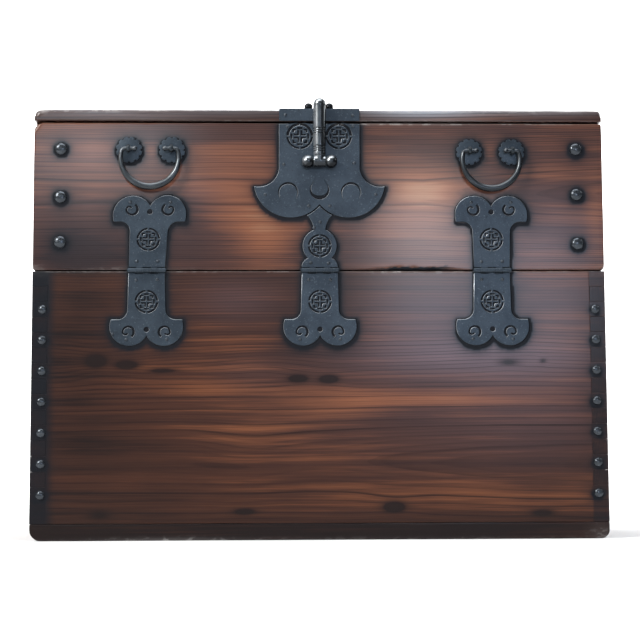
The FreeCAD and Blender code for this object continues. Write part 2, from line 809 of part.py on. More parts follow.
def smile():
    """A crescent that opens upwards, whose inner edge comes to a point at the bottom."""
    radius = size["lock_smile_radius"]
    centre = (0, -size["lock_smile_drop"])
    horns = polar(centre, radius, 180 - smile_horn_angle), polar(centre, radius, smile_horn_angle)
    bottom = polar(centre, radius * smile_point_share, -90)
    return [
        arc(horns[0], polar(centre, radius, -90), horns[1]),
        arc(horns[1], polar(centre, radius * smile_side_share, -30), bottom),
        arc(bottom, polar(centre, radius * smile_side_share, 210), horns[0]),
    ]


nodes["lock_plate"] = put(plate_body("lock_plate", *lock_plate_shape()), "0", "front_face", "lock_plate_top")


# Eye posts. Each has a ball-shaped head with a bore along X, a neck, a shank and clinched legs.

def front_post(name, kind, x, y, z, bore_radius, seat):
    """An eye post that stands out of the flap, its legs bent flat on the flap's inner face."""
    inner_face = "(front_face + board_thickness)"
    solid = fuse(f"{name}_solid", [
        ball(f"{name}_head", "+X", x, y, z, f"{kind}_radius", f"{kind}_width"),
        cylinder(f"{name}_neck", "+Y", x, y, z, f"{kind}_neck_radius", f"{seat} - {y}"),
        cylinder(f"{name}_shank", "+Y", x, y, z, f"{kind}_shank_radius", f"{inner_face} - {y}"),
        box(
            f"{name}_legs", f"{x} - clinch_length / 2", inner_face, f"{z} - clinch_width / 2",
            "clinch_length", "clinch_thickness", "clinch_width"),
    ])
    bore = cylinder(
        f"{name}_bore", "+X", f"{x} - {kind}_width / 2 - cut_overrun", y, z,
        bore_radius, f"{kind}_width + 2 * cut_overrun")
    return cut(name, solid, bore)


def shank_hole(name, kind, x, z):
    return cylinder(
        name, "+Y", x, "front_face - cut_overrun", z,
        f"{kind}_shank_radius + post_hole_gap", "board_thickness + 2 * cut_overrun")


flap_holes = flap_nail_holes["left"] + flap_nail_holes["right"]
for name, sign, low_x in sides():
    x = f"{sign} * hasp_post_offset"
    nodes[f"hasp_post_{name}"] = front_post(
        f"hasp_post_{name}", "hasp_post", x, "hasp_pin_y", "hasp_pin_height", "hasp_pin_radius + pin_fit_gap",
        "plate_face")
    flap_holes.append(shank_hole(f"hasp_post_hole_{name}", "hasp_post", x, "hasp_pin_height"))

pin_half = "(hasp_post_offset + hasp_post_width / 2)"
nodes["hasp_pin"] = cylinder(
    "hasp_pin", "+X", f"-{pin_half}", "hasp_pin_y", "hasp_pin_height", "hasp_pin_radius", f"2 * {pin_half}")


# Hasp: a turned rod with grooves, bent back over the top edge to an eye

def hasp_rod_profile():
    """Half of the rod's outline, from the pin's height up to the bend, with its turned grooves."""
    foot, rod = size["hasp_foot_radius"], size["hasp_rod_radius"]
    collar, half_groove = size["hasp_collar_height"], size["hasp_groove_width"] / 2
    top = size["bar_z"] - size["hasp_bend_drop"] - size["hasp_pin_height"]

    def radius_at(height):
        return foot + (rod - foot) * (height - collar) / (top - collar)

    points = [point(0, 0), point(foot - half_groove, 0), point(foot - half_groove, collar - half_groove)]
    points.append(point(foot, collar + half_groove))
    pitch = size["hasp_groove_pitch"]
    low, high = size["hasp_low_groove"], size["hasp_high_groove"]
    for level in (low, low + pitch, high, high + pitch):
        points.append(point(radius_at(level - half_groove), level - half_groove))
        points.append(point(radius_at(level) - size["hasp_groove_depth"], level))
        points.append(point(radius_at(level + half_groove), level + half_groove))
    points += [point(rod, top), point(0, top)]
    return lines(points)


rod_body = doc.addObject("PartDesign::Body", "hasp_rod")
rod_drawing = new_sketch(rod_body, "hasp_rod_profile", "XZ_Plane", hasp_rod_profile())
rod_turned = rod_body.newObject("PartDesign::Revolution", "hasp_rod_turned")
rod_turned.Profile = rod_drawing
rod_turned.ReferenceAxis = (rod_drawing, ["V_Axis"])
rod_turned.Angle = 360
put(rod_body, "0", "hasp_pin_y", "hasp_pin_height")

neck_y = "(hasp_pin_y + hasp_neck_length)"
knuckle_low = "-hasp_knuckle_width / 2"
hasp_solid = fuse("hasp_solid", [
    rod_body,
    cylinder(
        "hasp_foot", "+X", knuckle_low, "hasp_pin_y", "hasp_pin_height",
        "hasp_knuckle_radius", "hasp_knuckle_width"),
    ball("hasp_bend", "+Y", "0", "hasp_pin_y", "bar_z - hasp_bend_drop", "hasp_bend_radius"),
    cone(
        "hasp_taper", "+Y", "0", "hasp_pin_y", "bar_z", "hasp_taper_radius", "hasp_neck_radius", "hasp_neck_length"),
    cylinder("hasp_neck", "+Y", "0", neck_y, "bar_z", "hasp_neck_radius", f"bar_y - {neck_y}"),
    cylinder(
        "hasp_eye", "+X", knuckle_low, "bar_y", "bar_z", "top_post_radius", "hasp_knuckle_width"),
])
knuckle_bore_x = f"{knuckle_low} - cut_overrun"
knuckle_bore_length = "hasp_knuckle_width + 2 * cut_overrun"
nodes["hasp"] = cut("hasp", hasp_solid, group("hasp_bores", [
    cylinder(
        "hasp_pin_bore", "+X", knuckle_bore_x, "hasp_pin_y", "hasp_pin_height",
        "hasp_pin_radius + running_gap", knuckle_bore_length),
    cylinder(
        "hasp_bar_bore", "+X", knuckle_bore_x, "bar_y", "bar_z", "bar_hole_radius", knuckle_bore_length),
]))


# Strap over the top board's front edge, and the posts that flank the hasp's eye

strap = doc.addObject("PartDesign::Body", "strap_bent")
thickness = size["plate_thickness"]
edge_height = size["top_thickness"] - size["strap_edge_margin"]
strap_section = lines([
    point(-thickness, thickness), point(-thickness, -edge_height), point(0, -edge_height),
    point(0, 0), point(size["strap_depth"], 0), point(size["strap_depth"], thickness),
])
pad(strap, "strap_sheet", new_sketch(strap, "strap_section", "YZ_Plane", strap_section), "strap_width")
put(strap, "-strap_width / 2", "front_face", "chest_height")

top_holes = []
for name, sign, low_x in sides():
    x = f"{sign} * top_post_offset"
    strap_top = "(chest_height + plate_thickness)"
    solid = fuse(f"top_post_solid_{name}", [
        ball(f"top_post_head_{name}", "+X", x, "bar_y", "bar_z", "top_post_radius", "top_post_width"),
        cylinder(
            f"top_post_neck_{name}", "+Z", x, "bar_y", strap_top, "top_post_neck_radius", f"bar_z - {strap_top}"),
        cylinder(
            f"top_post_shank_{name}", "+Z", x, "bar_y", "top_underside", "top_post_shank_radius",
            "bar_z - top_underside"),
    ])
    nodes[f"top_post_{name}"] = cut(f"top_post_{name}", solid, cylinder(
        f"top_post_bore_{name}", "+X", f"{x} - top_post_width / 2 - cut_overrun", "bar_y", "bar_z",
        "bar_hole_radius", "top_post_width + 2 * cut_overrun"))
    top_holes.append(cylinder(
        f"top_post_hole_{name}", "+Z", x, "bar_y", "top_underside - cut_overrun",
        "top_post_shank_radius + post_hole_gap", "top_thickness + plate_thickness + 2 * cut_overrun"))

nodes["top_strap"] = cut("top_strap", strap, group("strap_holes", top_holes))
nodes["top_board"] = cut(
    "top_board", common("top_rounded", fuse("top_comb", top_comb), carcass), group("top_board_holes", top_holes))


# Drop handles

def rosette(name, x, z):
    """A domed round with petal notches in its rim and a hole for the post's shank."""
    body = doc.addObject("PartDesign::Body", name)
    radius, thickness = size["rosette_radius"], size["rosette_thickness"]
    rim = size["rosette_rim_thickness"]
    crown = radius / 2
    profile = [
        Part.LineSegment(point(0, 0), point(radius, 0)),
        Part.LineSegment(point(radius, 0), point(radius, rim)),
        arc(point(radius, rim), point(crown, (rim + 3 * thickness) / 4), point(0, thickness)),
        Part.LineSegment(point(0, thickness), point(0, 0)),
    ]
    drawing = new_sketch(body, f"{name}_profile", "XY_Plane", profile)
    dome = body.newObject("PartDesign::Revolution", f"{name}_dome")
    dome.Profile = drawing
    dome.ReferenceAxis = (drawing, ["V_Axis"])
    dome.Angle = 360
    shank_radius = size["handle_post_shank_radius"] + size["post_hole_gap"]
    middle = new_sketch(body, f"{name}_middle", "XZ_Plane", [circle((0, 0), shank_radius)])
    hole = body.newObject("PartDesign::Pocket", f"{name}_hole")
    hole.Profile = middle
    hole.Type = "ThroughAll"
    hole.Midplane = True
    notch = new_sketch(
        body, f"{name}_notch", "XZ_Plane", [circle((radius, 0), size["rosette_petal_notch_radius"])])
    petal = body.newObject("PartDesign::Pocket", f"{name}_petal")
    petal.Profile = notch
    petal.Type = "ThroughAll"
    petal.Midplane = True
    petals = body.newObject("PartDesign::PolarPattern", f"{name}_petals")
    petals.Originals = [petal]
    petals.Axis = (drawing, ["V_Axis"])
    petals.Angle = 360
    bind(petals, Occurrences="rosette_petal_count")
    body.Tip = petals
    body.Placement = FreeCAD.Placement(FreeCAD.Vector(), turns["-Z"])
    return put(body, x, "front_face", z)


def bail_shape():
    """A tapering rod on a round loop, whose ends turn inwards through the posts to small balls."""
    loop, drop, bend = size["bail_loop_radius"], size["bail_loop_drop"], size["bail_bend_radius"]
    bend_half = math.sqrt((loop - bend) ** 2 - (drop - bend) ** 2)
    tip = size["handle_post_offset"] - size["bail_ball_inset"]
    end_radius, shoulder_radius = size["bail_end_radius"], size["bail_shoulder_radius"]

    def spot(x, z):
        return FreeCAD.Vector(x, 0, z)

    def flip(place):
        return FreeCAD.Vector(-place.x, 0, place.z)

    bend_centre, bend_start = spot(bend_half, -bend), spot(bend_half, 0)
    loop_centre = spot(0, -drop)
    outward = (bend_centre - loop_centre).normalize()
    shoulder = loop_centre + outward * loop
    bend_middle = bend_centre + (outward + spot(0, 1)).normalize() * bend
    bottom = spot(0, -drop - loop)
    path = Part.Wire([
        Part.Arc(flip(bend_start), flip(bend_middle), flip(shoulder)).toShape(),
        Part.Arc(flip(shoulder), bottom, shoulder).toShape(),
        Part.Arc(shoulder, bend_middle, bend_start).toShape(),
    ])
    along = FreeCAD.Vector(outward.z, 0, -outward.x)
    stations = [
        (flip(bend_start), spot(-1, 0), end_radius),
        (flip(shoulder), flip(along), shoulder_radius),
        (bottom, spot(1, 0), size["bail_grip_radius"]),
        (shoulder, along, shoulder_radius),
        (bend_start, spot(-1, 0), end_radius),
    ]
    rings = [Part.Wire(Part.Circle(place, facing, radius).toShape()) for place, facing, radius in stations]
    pieces = [path.makePipeShell(rings, True, False)]
    for side in (-1, 1):
        end = Part.makeCylinder(end_radius, bend_half - tip, spot(side * tip, 0), spot(side, 0))
        pieces.append(end.fuse(Part.makeSphere(size["bail_ball_radius"], spot(side * tip, 0))))
    return pieces[0].fuse(pieces[1:])


bail_solid = bail_shape()
for name, sign, low_x in sides():
    centre = f"{sign} * handle_{name}_offset"
    pivot_z = f"handle_{name}_pivot_z"
    rosettes = []
    posts = []
    for end in (-1, 1):
        label = f"{name}_{'outer' if (end < 0) == (name == 'left') else 'inner'}"
        x = f"({centre} + {end} * handle_post_offset)"
        rosettes.append(rosette(f"rosette_{label}", x, pivot_z))
        posts.append(front_post(
            f"handle_post_{label}", "handle_post", x, "handle_pivot_y", pivot_z,
            "bail_end_radius + bail_eye_gap", "(front_face - rosette_thickness)"))
        flap_holes.append(shank_hole(f"handle_hole_{label}", "handle_post", x, pivot_z))
    nodes[f"handle_{name}_rosettes"] = group(f"handle_{name}_rosettes", rosettes)
    nodes[f"handle_{name}_posts"] = group(f"handle_{name}_posts", posts)
    bail = doc.addObject("Part::Feature", f"handle_{name}_bail")
    bail.Shape = bail_solid
    nodes[f"handle_{name}_bail"] = put(bail, centre, "handle_pivot_y", pivot_z)


# Drop-front flap and the battens behind it

flap_box = box(
    "flap_box", "-side_face", "front_face", "flap_bottom",
    "chest_width", "board_thickness", "flap_top - flap_bottom")
nodes["flap_panel"] = cut("flap_panel", flap_box, group("flap_hole_set", flap_holes))
for name, sign, low_x in sides():
    batten = box(
        f"batten_box_{name}", f"{sign} * batten_centre - batten_width / 2", "-depth_inner_half",
        "flap_bottom + batten_end_margin", "batten_width", "batten_thickness",
        "flap_top - flap_bottom - 2 * batten_end_margin")
    nodes[f"flap_batten_{name}"] = cut(
        f"flap_batten_{name}", batten, group(f"batten_holes_{name}", flap_nail_holes[name]))

doc.recompute()
for item in doc.Objects:
    if "Invalid" in item.State or "Error" in item.State:
        raise RuntimeError(f"{item.Name} failed: {item.State}")
for name, item in nodes.items():
    if item.Shape.isNull() or not item.Shape.isValid():
        raise RuntimeError(f"{name} has no valid shape")
for name, item in nodes.items():
    item.Label = name
    item.Shape.exportStep(f"parts/{name}.step")
    print(name, len(item.Shape.Solids), round(item.Shape.Volume))
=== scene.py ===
import json
import math
from functools import partialmethod
import bmesh
import bpy
import numpy as np
from mathutils import Matrix, Vector


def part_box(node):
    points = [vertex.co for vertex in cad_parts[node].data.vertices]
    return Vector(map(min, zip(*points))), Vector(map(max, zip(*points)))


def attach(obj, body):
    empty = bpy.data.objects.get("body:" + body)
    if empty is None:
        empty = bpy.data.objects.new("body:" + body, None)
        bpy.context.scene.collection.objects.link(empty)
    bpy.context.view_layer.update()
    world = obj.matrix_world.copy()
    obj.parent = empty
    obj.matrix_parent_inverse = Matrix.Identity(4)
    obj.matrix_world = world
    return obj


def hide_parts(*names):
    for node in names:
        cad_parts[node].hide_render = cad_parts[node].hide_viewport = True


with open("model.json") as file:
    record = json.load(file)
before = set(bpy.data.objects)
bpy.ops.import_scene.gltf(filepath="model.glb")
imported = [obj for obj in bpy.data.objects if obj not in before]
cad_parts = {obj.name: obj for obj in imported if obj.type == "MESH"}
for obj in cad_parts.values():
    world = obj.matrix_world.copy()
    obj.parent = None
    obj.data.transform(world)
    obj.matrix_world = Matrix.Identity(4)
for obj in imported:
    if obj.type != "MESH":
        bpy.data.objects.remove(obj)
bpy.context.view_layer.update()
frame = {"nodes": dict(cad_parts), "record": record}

# Korean drop-front chest: lacquered pine boards under dark iron plates, nails and drop handles.
# Metres, in the frame's axes: X along the front, Y into the depth, Z up, front facing -Y.

nodes = frame["nodes"]
bodyOf = {name: body for body, names in frame["record"]["behaviour"]["bodies"].items() for name in names}
slotOf = {part["node"]: part["material_slot"] for part in frame["record"]["subparts"]}


def corners(node):
    low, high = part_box(node)
    return np.array(low), np.array(high)


def rows(items, key):  # a vector of each item as rows of x, y, z
    values = np.zeros(len(items) * 3)
    items.foreach_get(key, values)
    return values.reshape(-1, 3)


def vertices(node):
    return rows(nodes[node].data.vertices, "co")


frontFace = corners("flap_panel")[0][1]
plateFace = corners("lock_plate")[0][1]
hingeLine = (corners("flap_panel")[0][2] + corners("front_board")[1][2]) / 2


# Shader maths: a wrapped socket, whose operators add Math nodes

class Maths:
    def __init__(self, shader, socket):
        self.shader = shader
        self.socket = socket

    def apply(self, operation, *others):
        return self.shader.node("ShaderNodeMath", {"operation": operation}, [self, *others])

    __add__ = __radd__ = partialmethod(apply, "ADD")
    __mul__ = __rmul__ = partialmethod(apply, "MULTIPLY")
    __sub__ = partialmethod(apply, "SUBTRACT")
    sqrt = partialmethod(apply, "SQRT")
    floor = partialmethod(apply, "FLOOR")
    fraction = partialmethod(apply, "FRACT")

    def __rsub__(self, other):
        return self.shader.node("ShaderNodeMath", {"operation": "SUBTRACT"}, [other, self])

    def clamped(self):
        return self.shader.node("ShaderNodeClamp", {}, {"Value": self})

    def ramp(self, low, high, start=0.0, end=1.0):  # smooth step from one level to the other
        return self.shader.node(
            "ShaderNodeMapRange", {"interpolation_type": "SMOOTHSTEP"},
            {"Value": self, "From Min": low, "From Max": high, "To Min": start, "To Max": end})


class Shader:
    def __init__(self, name):
        self.material = bpy.data.materials.new(name)
        self.material.use_nodes = True
        self.tree = self.material.node_tree
        self.tree.nodes.clear()
        self.output = self.tree.nodes.new("ShaderNodeOutputMaterial")

    def link(self, value, socket):
        if isinstance(value, Maths):
            self.tree.links.new(value.socket, socket)
        else:
            socket.default_value = value

    def node(self, kind, settings, sockets, result=0):  # a node, its settings and its sockets' values or links
        item = self.tree.nodes.new(kind)
        for key, value in settings.items():
            if key == "stops":
                self.fillRamp(item.color_ramp, value)
            else:
                setattr(item, key, value)
        pairs = sockets.items() if isinstance(sockets, dict) else enumerate(sockets)
        for key, value in pairs:
            self.link(value, item.inputs[key])
        return Maths(self, item.outputs[result])

    def fillRamp(self, ramp, stops):
        while len(ramp.elements) < len(stops):
            ramp.elements.new(1.0)
        for element, (place, colour) in zip(ramp.elements, stops):
            element.position = place
            element.color = (*colour, 1.0)

    def coordinates(self):
        place = self.node("ShaderNodeTexCoord", {}, {}, "Object")
        split = self.node("ShaderNodeSeparateXYZ", {}, [place])
        axes = split.socket.node.outputs
        return place, [Maths(self, axes[index]) for index in range(3)]

    def vector(self, x, y, z):
        return self.node("ShaderNodeCombineXYZ", {}, [x, y, z])

    def noise(self, place, scale=1.0, detail=2.0, roughness=0.5):
        return self.node(
            "ShaderNodeTexNoise", {"noise_dimensions": "3D"},
            {"Vector": place, "Scale": scale, "Detail": detail, "Roughness": roughness})

    def stretched(self, x, y, z, detail=2.0, roughness=0.5):  # noise of a place that is scaled axis by axis
        return self.noise(self.vector(x, y, z), detail=detail, roughness=roughness)

    def attribute(self, name):
        return self.node("ShaderNodeAttribute", {"attribute_name": name}, {}, "Fac")

    def mix(self, factor, first, second):
        item = self.tree.nodes.new("ShaderNodeMix")
        item.data_type = "RGBA"
        for key, value in (("Factor_Float", factor), ("A_Color", first), ("B_Color", second)):
            socket = next(s for s in item.inputs if s.identifier == key)
            self.link(value, socket)
        return Maths(self, next(s for s in item.outputs if s.identifier == "Result_Color"))

    def bump(self, height, distance):
        return self.node("ShaderNodeBump", {}, {"Height": height, "Distance": distance})

    def finish(self, sockets):
        surface = self.node("ShaderNodeBsdfPrincipled", {}, sockets)
        self.tree.links.new(surface.socket, self.output.inputs["Surface"])
        return self.material


# Wood: growth rings of a log, cut by the board's face, with fibres, stains and worn arrises, and painted sheen,
# highlights and shade

woodLook = {
    "dark": (0.0115, 0.0068, 0.0062),
    "brown": (0.0560, 0.0210, 0.0120),
    "orange": (0.2300, 0.0800, 0.0310),
    "pale": (0.4300, 0.2200, 0.1150),
    "ironStainAndShade": (0.0075, 0.0085, 0.0115),
    "worn": (0.3600, 0.3400, 0.3300),
    "roughness": 0.40,
    "specular": 0.12,
    "coat": 0.42,
    "coatRoughness": 0.17,
}


def woodMaterial(name, along, across, depth, board):
    # Rings are circles round the log's pith, seen where the board cuts them: the root of
    # (height over the pith + warp) squared plus (depth of the pith + sink) squared, in ring widths.
    # Each ring ends in a dark late line, whose strength differs from ring to ring.
    shader = Shader(name)
    axes = shader.coordinates()[1]
    a, c, d = axes[along], axes[across], axes[depth]
    seed = board["seed"]
    warp = (shader.stretched(a * 1.6 + seed, c * 3.0, d * 3.0, detail=1.0) - 0.5) * board["wander"]
    ripple = (shader.stretched(a * 7.0 + seed, c * 16.0, d * 16.0) - 0.5) * board["ripple"]
    level = c - board["pith"] + warp + ripple + shader.attribute("warp")
    drift = (shader.stretched(a * 2.6 + 3.7 * seed, c * 2.0, 0.0, detail=1.5) - 0.5) * board["drift"]
    sink = drift + board["pithDepth"] + d + shader.attribute("sink")
    radius = (level * level + sink * sink).sqrt()
    uneven = shader.stretched(radius * 55.0, 0.3 * seed, 0.0)
    count = radius * board["ringDensity"] + uneven * board["uneven"]
    rings = count.fraction()
    ringNumber = shader.stretched(count.floor() * 5.37, 0.7 * seed, 0.0, detail=0.0)
    fade = shader.stretched(a * 2.2 + seed, c * 9.0, 0.0).ramp(0.30, 0.66)
    strength = ringNumber.ramp(0.34, 0.66, 0.18, 1.0) * (0.45 + 0.55 * fade)
    late = rings.ramp(board["lateStart"], 0.95) * rings.ramp(0.955, 1.0, 1.0, 0.0) * strength
    slow = shader.stretched(a * 3.1 + seed, c * 40.0, 0.0)
    fineRings = (count * board["fineRings"] + (slow - 0.5) * 1.4).fraction()
    fine = fineRings.ramp(0.45, 0.94) * fineRings.ramp(0.95, 1.0, 1.0, 0.0)
    fine = fine * (1.0 - fade * 0.6) * board["fineDepth"]
    glow = rings.ramp(0.0, 0.5) * rings.ramp(0.5, 0.95, 1.0, 0.0)
    fibre = shader.stretched(a * 6.0, c * 520.0, d * 520.0, detail=3.0, roughness=0.6)
    hair = shader.stretched(a * 26.0, c * 1900.0, d * 1900.0, detail=1.0)
    streak = shader.stretched(a * 1.9 + seed, c * 60.0 + level * 20.0, d * 30.0, detail=4.0, roughness=0.62)
    cloud = shader.stretched(a * 3.4 + 2.0 * seed, c * 9.0, d * 8.0, detail=3.0)
    warm = shader.attribute("warm")
    stain = shader.attribute("stain")
    under = stain.ramp(0.84, 1.14)
    knot = (shader.attribute("knot") * 2.3).clamped()
    worn = shader.attribute("worn").clamped()
    tone = (streak - 0.5) * board["streak"] + (cloud - 0.5) * board["cloud"] + (fibre - 0.5) * 0.30
    tone = tone + (hair - 0.5) * 0.10 + warm + board["tone"] + glow * board["glow"]
    body = shader.node("ShaderNodeValToRGB", {"stops": [
        (0.0, woodLook["dark"]), (0.32, woodLook["brown"]), (0.68, woodLook["orange"]), (1.0, woodLook["pale"]),
    ]}, {"Fac": tone})
    # bloom: a hazy lacquer film, and a painted sheen of reflected light, mixed into the colour
    bloom = (shader.attribute("bloom") * (0.7 + 0.6 * streak)).clamped()
    body = shader.mix(bloom * 0.75, body, (*board["bloom"], 1.0))
    body = shader.mix((late * board["lateDepth"] + fine).clamped(), body, (*woodLook["dark"], 1.0))
    # the stain attribute holds iron stain and dark joints, and painted shade at the iron, below and right of
    # it, and in the chipped seam
    stain = (stain * (0.74 + 0.5 * cloud)).clamped()
    body = shader.mix(stain, body, (*woodLook["ironStainAndShade"], 1.0))
    body = shader.mix(knot * 0.94, body, (*woodLook["dark"], 1.0))
    specks = shader.stretched(a * 90.0, c * 160.0, d * 160.0, detail=3.0).ramp(0.50, 0.62)
    # rubbed pale: worn arrises and chips, and along some arrises a painted highlight of the light that catches
    # them
    rub = worn * (0.30 + 0.70 * specks)
    body = shader.mix(rub * board["rub"], body, (*woodLook["worn"], 1.0))
    relief = fibre * 0.5 + hair * 0.15 - late * board["lateRelief"]
    rough = woodLook["roughness"] + (fibre - 0.5) * 0.16 + stain * 0.06 + rub * 0.3 - late * 0.04
    coat = shader.attribute("gloss") * woodLook["coat"] - stain * 0.08 - rub * 0.2 - under * 0.4
    return shader.finish({
        "Base Color": body, "Roughness": rough.clamped(), "Normal": shader.bump(relief, board["relief"]),
        "Coat Weight": coat.clamped(), "Coat Roughness": woodLook["coatRoughness"],
        "Specular IOR Level": woodLook["specular"],
    })


plainBoard = {
    "seed": 1.0, "pith": 0.10, "pithDepth": 0.16, "drift": 0.004, "wander": 0.022, "ripple": 0.0026,
    "ringDensity": 240.0, "uneven": 1.6, "lateStart": 0.62, "lateDepth": 0.80, "lateRelief": 0.3,
    "fineRings": 3.0, "fineDepth": 0.26, "bloom": (0.150, 0.105, 0.125),
    "relief": 0.00022, "tone": 0.30, "streak": 0.70, "cloud": 0.42, "glow": 0.05, "rub": 0.8,
}
boardLooks = {
    "frontWood": (0, 2, 1, {
        **plainBoard, "seed": 4.3, "pith": 0.120, "pithDepth": 0.360, "ringDensity": 235.0, "tone": 0.29}),
    "flapWood": (0, 2, 1, {
        **plainBoard, "seed": 7.9, "pith": 0.545, "pithDepth": 0.400, "drift": 0.003, "wander": 0.012,
        "ringDensity": 640.0, "tone": 0.33, "fineRings": 2.0, "lateStart": 0.55, "lateDepth": 0.9}),
    # the top board's pale blue-grey bloom is mostly a painted reflection along its rounded front
    "topWood": (0, 1, 2, {
        **plainBoard, "seed": 11.3, "pith": -0.05, "pithDepth": -0.48, "tone": 0.18, "rub": 1.0,
        "bloom": (0.400, 0.440, 0.500)}),
    "bottomWood": (0, 1, 2, {
        **plainBoard, "seed": 15.1, "pith": 0.02, "pithDepth": 0.20, "tone": -0.06, "streak": 0.3, "rub": 0.8}),
    "sideWood": (1, 2, 0, {**plainBoard, "seed": 21.7, "pith": 0.33, "pithDepth": 0.70, "tone": 0.30}),
    "backWood": (0, 2, 1, {**plainBoard, "seed": 27.4, "pith": 0.22, "pithDepth": -0.05, "tone": 0.32}),
    "battenWood": (2, 0, 1, {**plainBoard, "seed": 31.9, "pith": 0.2, "pithDepth": 0.4, "tone": 0.36}),
}
woods = {name: woodMaterial(name, *look) for name, look in boardLooks.items()}
print("wood ready")


# Iron: forged plate with a dull slate skin, and the same iron rubbed bright by hands, both with painted
# highlights and shade by the way they face

# levels in Y over which a plate's edge sets in behind its face, and the walls of its piercings, which are
# painted dark as shade
edgeLevels = plateFace + 0.00012, plateFace + 0.00035
wallLevels = plateFace + 0.0005, plateFace + 0.0009


def ironMaterial(name, look):
    # Skin between two slates by soft cloudy noise, lightened by the rub attribute (rubbed iron and painted
    # highlights) and darkened by painted shade; pits where fine noise passes a threshold; bumps of hammer
    # dents, grit and pits added up.
    shader = Shader(name)
    place, axes = shader.coordinates()
    cloud = shader.noise(place, scale=look["cloudScale"], detail=3.0, roughness=0.55)
    grit = shader.noise(place, scale=1300.0, detail=3.0, roughness=0.6)
    dents = shader.noise(place, scale=look["dentScale"])
    pits = shader.noise(place, scale=560.0).ramp(0.62, 0.74)
    # behind its flat face a plate's edge gets a painted highlight where it faces up, and painted shade where it
    # faces down
    behind = axes[1].ramp(*edgeLevels)
    deep = axes[1].ramp(*wallLevels) * shader.attribute("cut")
    edge = shader.attribute("edge") * behind * (1.0 - deep)
    specks = shader.noise(place, scale=380.0, detail=3.0).ramp(0.60, 0.74)
    # rubbed iron and painted highlights: the rub attribute and the lit plate edges, with real specks
    rubbed = (shader.attribute("rub") * (0.75 + 0.5 * cloud) + edge + specks * look["specks"]).clamped()
    # painted shade: the shade attribute, plate edges that face down, and the deep walls of piercings
    shade = (shader.attribute("shade") + shader.attribute("grime") * behind + deep * 0.9).clamped()
    skin = shader.mix(cloud.ramp(0.32, 0.70), (*look["dark"], 1.0), (*look["light"], 1.0))
    skin = shader.mix(rubbed, skin, (*look["bright"], 1.0))
    skin = shader.mix(pits * 0.45, skin, (*look["pitAndShade"], 1.0))
    skin = shader.mix(shade, skin, (*look["pitAndShade"], 1.0))
    height = dents * look["dents"] + grit * look["grit"] - pits * look["pits"]
    rough = look["roughness"] + (cloud - 0.5) * 0.16 + pits * 0.12 + (grit - 0.5) * 0.08 - rubbed * 0.08
    rough = rough - shade * 0.30
    return shader.finish({
        "Base Color": skin, "Roughness": rough.clamped(), "Metallic": look["metallic"],
        "Normal": shader.bump(height, 0.001),
    })


ironLooks = {
    "iron": {
        "dark": (0.0262, 0.0368, 0.0486), "light": (0.0420, 0.0570, 0.0735), "bright": (0.54, 0.58, 0.62),
        "pitAndShade": (0.010, 0.012, 0.015), "cloudScale": 26.0, "dentScale": 120.0, "roughness": 0.42,
        "metallic": 0.70, "dents": 0.20, "grit": 0.06, "pits": 0.12, "specks": 0.10,
    },
    "rubbed_iron": {
        "dark": (0.0200, 0.0250, 0.0300), "light": (0.0390, 0.0470, 0.0540), "bright": (0.58, 0.62, 0.65),
        "pitAndShade": (0.008, 0.009, 0.011), "cloudScale": 40.0, "dentScale": 150.0, "roughness": 0.34,
        "metallic": 0.84, "dents": 0.05, "grit": 0.01, "pits": 0.02, "specks": 0.0,
    },
}
irons = {name: ironMaterial(name, look) for name, look in ironLooks.items()}
print("iron ready")


# Meshes from numpy arrays

def newMesh(name, points, faces, material):
    mesh = bpy.data.meshes.new(name)
    mesh.from_pydata(points.tolist(), [], faces.tolist() if hasattr(faces, "tolist") else faces)
    mesh.update()
    mesh.shade_smooth()
    mesh.materials.append(material)
    return mesh


def newObject(name, data):
    item = bpy.data.objects.new(name, data)
    bpy.context.scene.collection.objects.link(item)
    return item


def newPiece(name, points, faces, material, body):
    piece = newObject(name, newMesh(name, points, faces, material))
    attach(piece, body)
    return piece


def setAttribute(mesh, name, values):
    layer = mesh.attributes.new(name, "FLOAT", "POINT")
    layer.data.foreach_set("value", np.asarray(values, np.float32))


def gridFaces(rows, columns, wrap=False):
    # Quads of a grid of points, row after row; a wrapped grid's last column meets its first.
    row, column = np.meshgrid(np.arange(rows - 1), np.arange(columns if wrap else columns - 1), indexing="ij")
    right = (column + 1) % columns
    here, above = row * columns, (row + 1) * columns
    quads = [here + column, here + right, above + right, above + column]
    return np.stack([q.ravel() for q in quads], axis=1)


def waves(points, seed, scales, directions=9):
    # Smooth noise from -1 to 1: a mean of sines of the place along random directions and lengths.
    rng = np.random.default_rng(seed)
    headings = rng.normal(size=(directions, 3)) * scales
    starts = rng.uniform(0, 2 * math.pi, directions)
    return np.sin(points @ headings.T + starts).sum(1) / directions * 1.8


def step(values, low, high):
    # Smooth step from 0 at the low value to 1 at the high one: 3t squared less 2t cubed.
    t = np.clip((values - low) / (high - low), 0, 1)
    return t * t * (3 - 2 * t)


def boxSpacing(low, high, rim, pitch):
    # Places along one side of a box: close together within the rim of each end, then a pitch apart.
    share = np.array([0.0, 0.12, 0.28, 0.5, 0.75, 1.0])
    start, end = low + share * rim, high - share[::-1] * rim
    count = max(int(round((end[0] - start[-1]) / pitch)), 1)
    return np.concatenate([start, np.linspace(start[-1], end[0], count + 1)[1:-1], end])


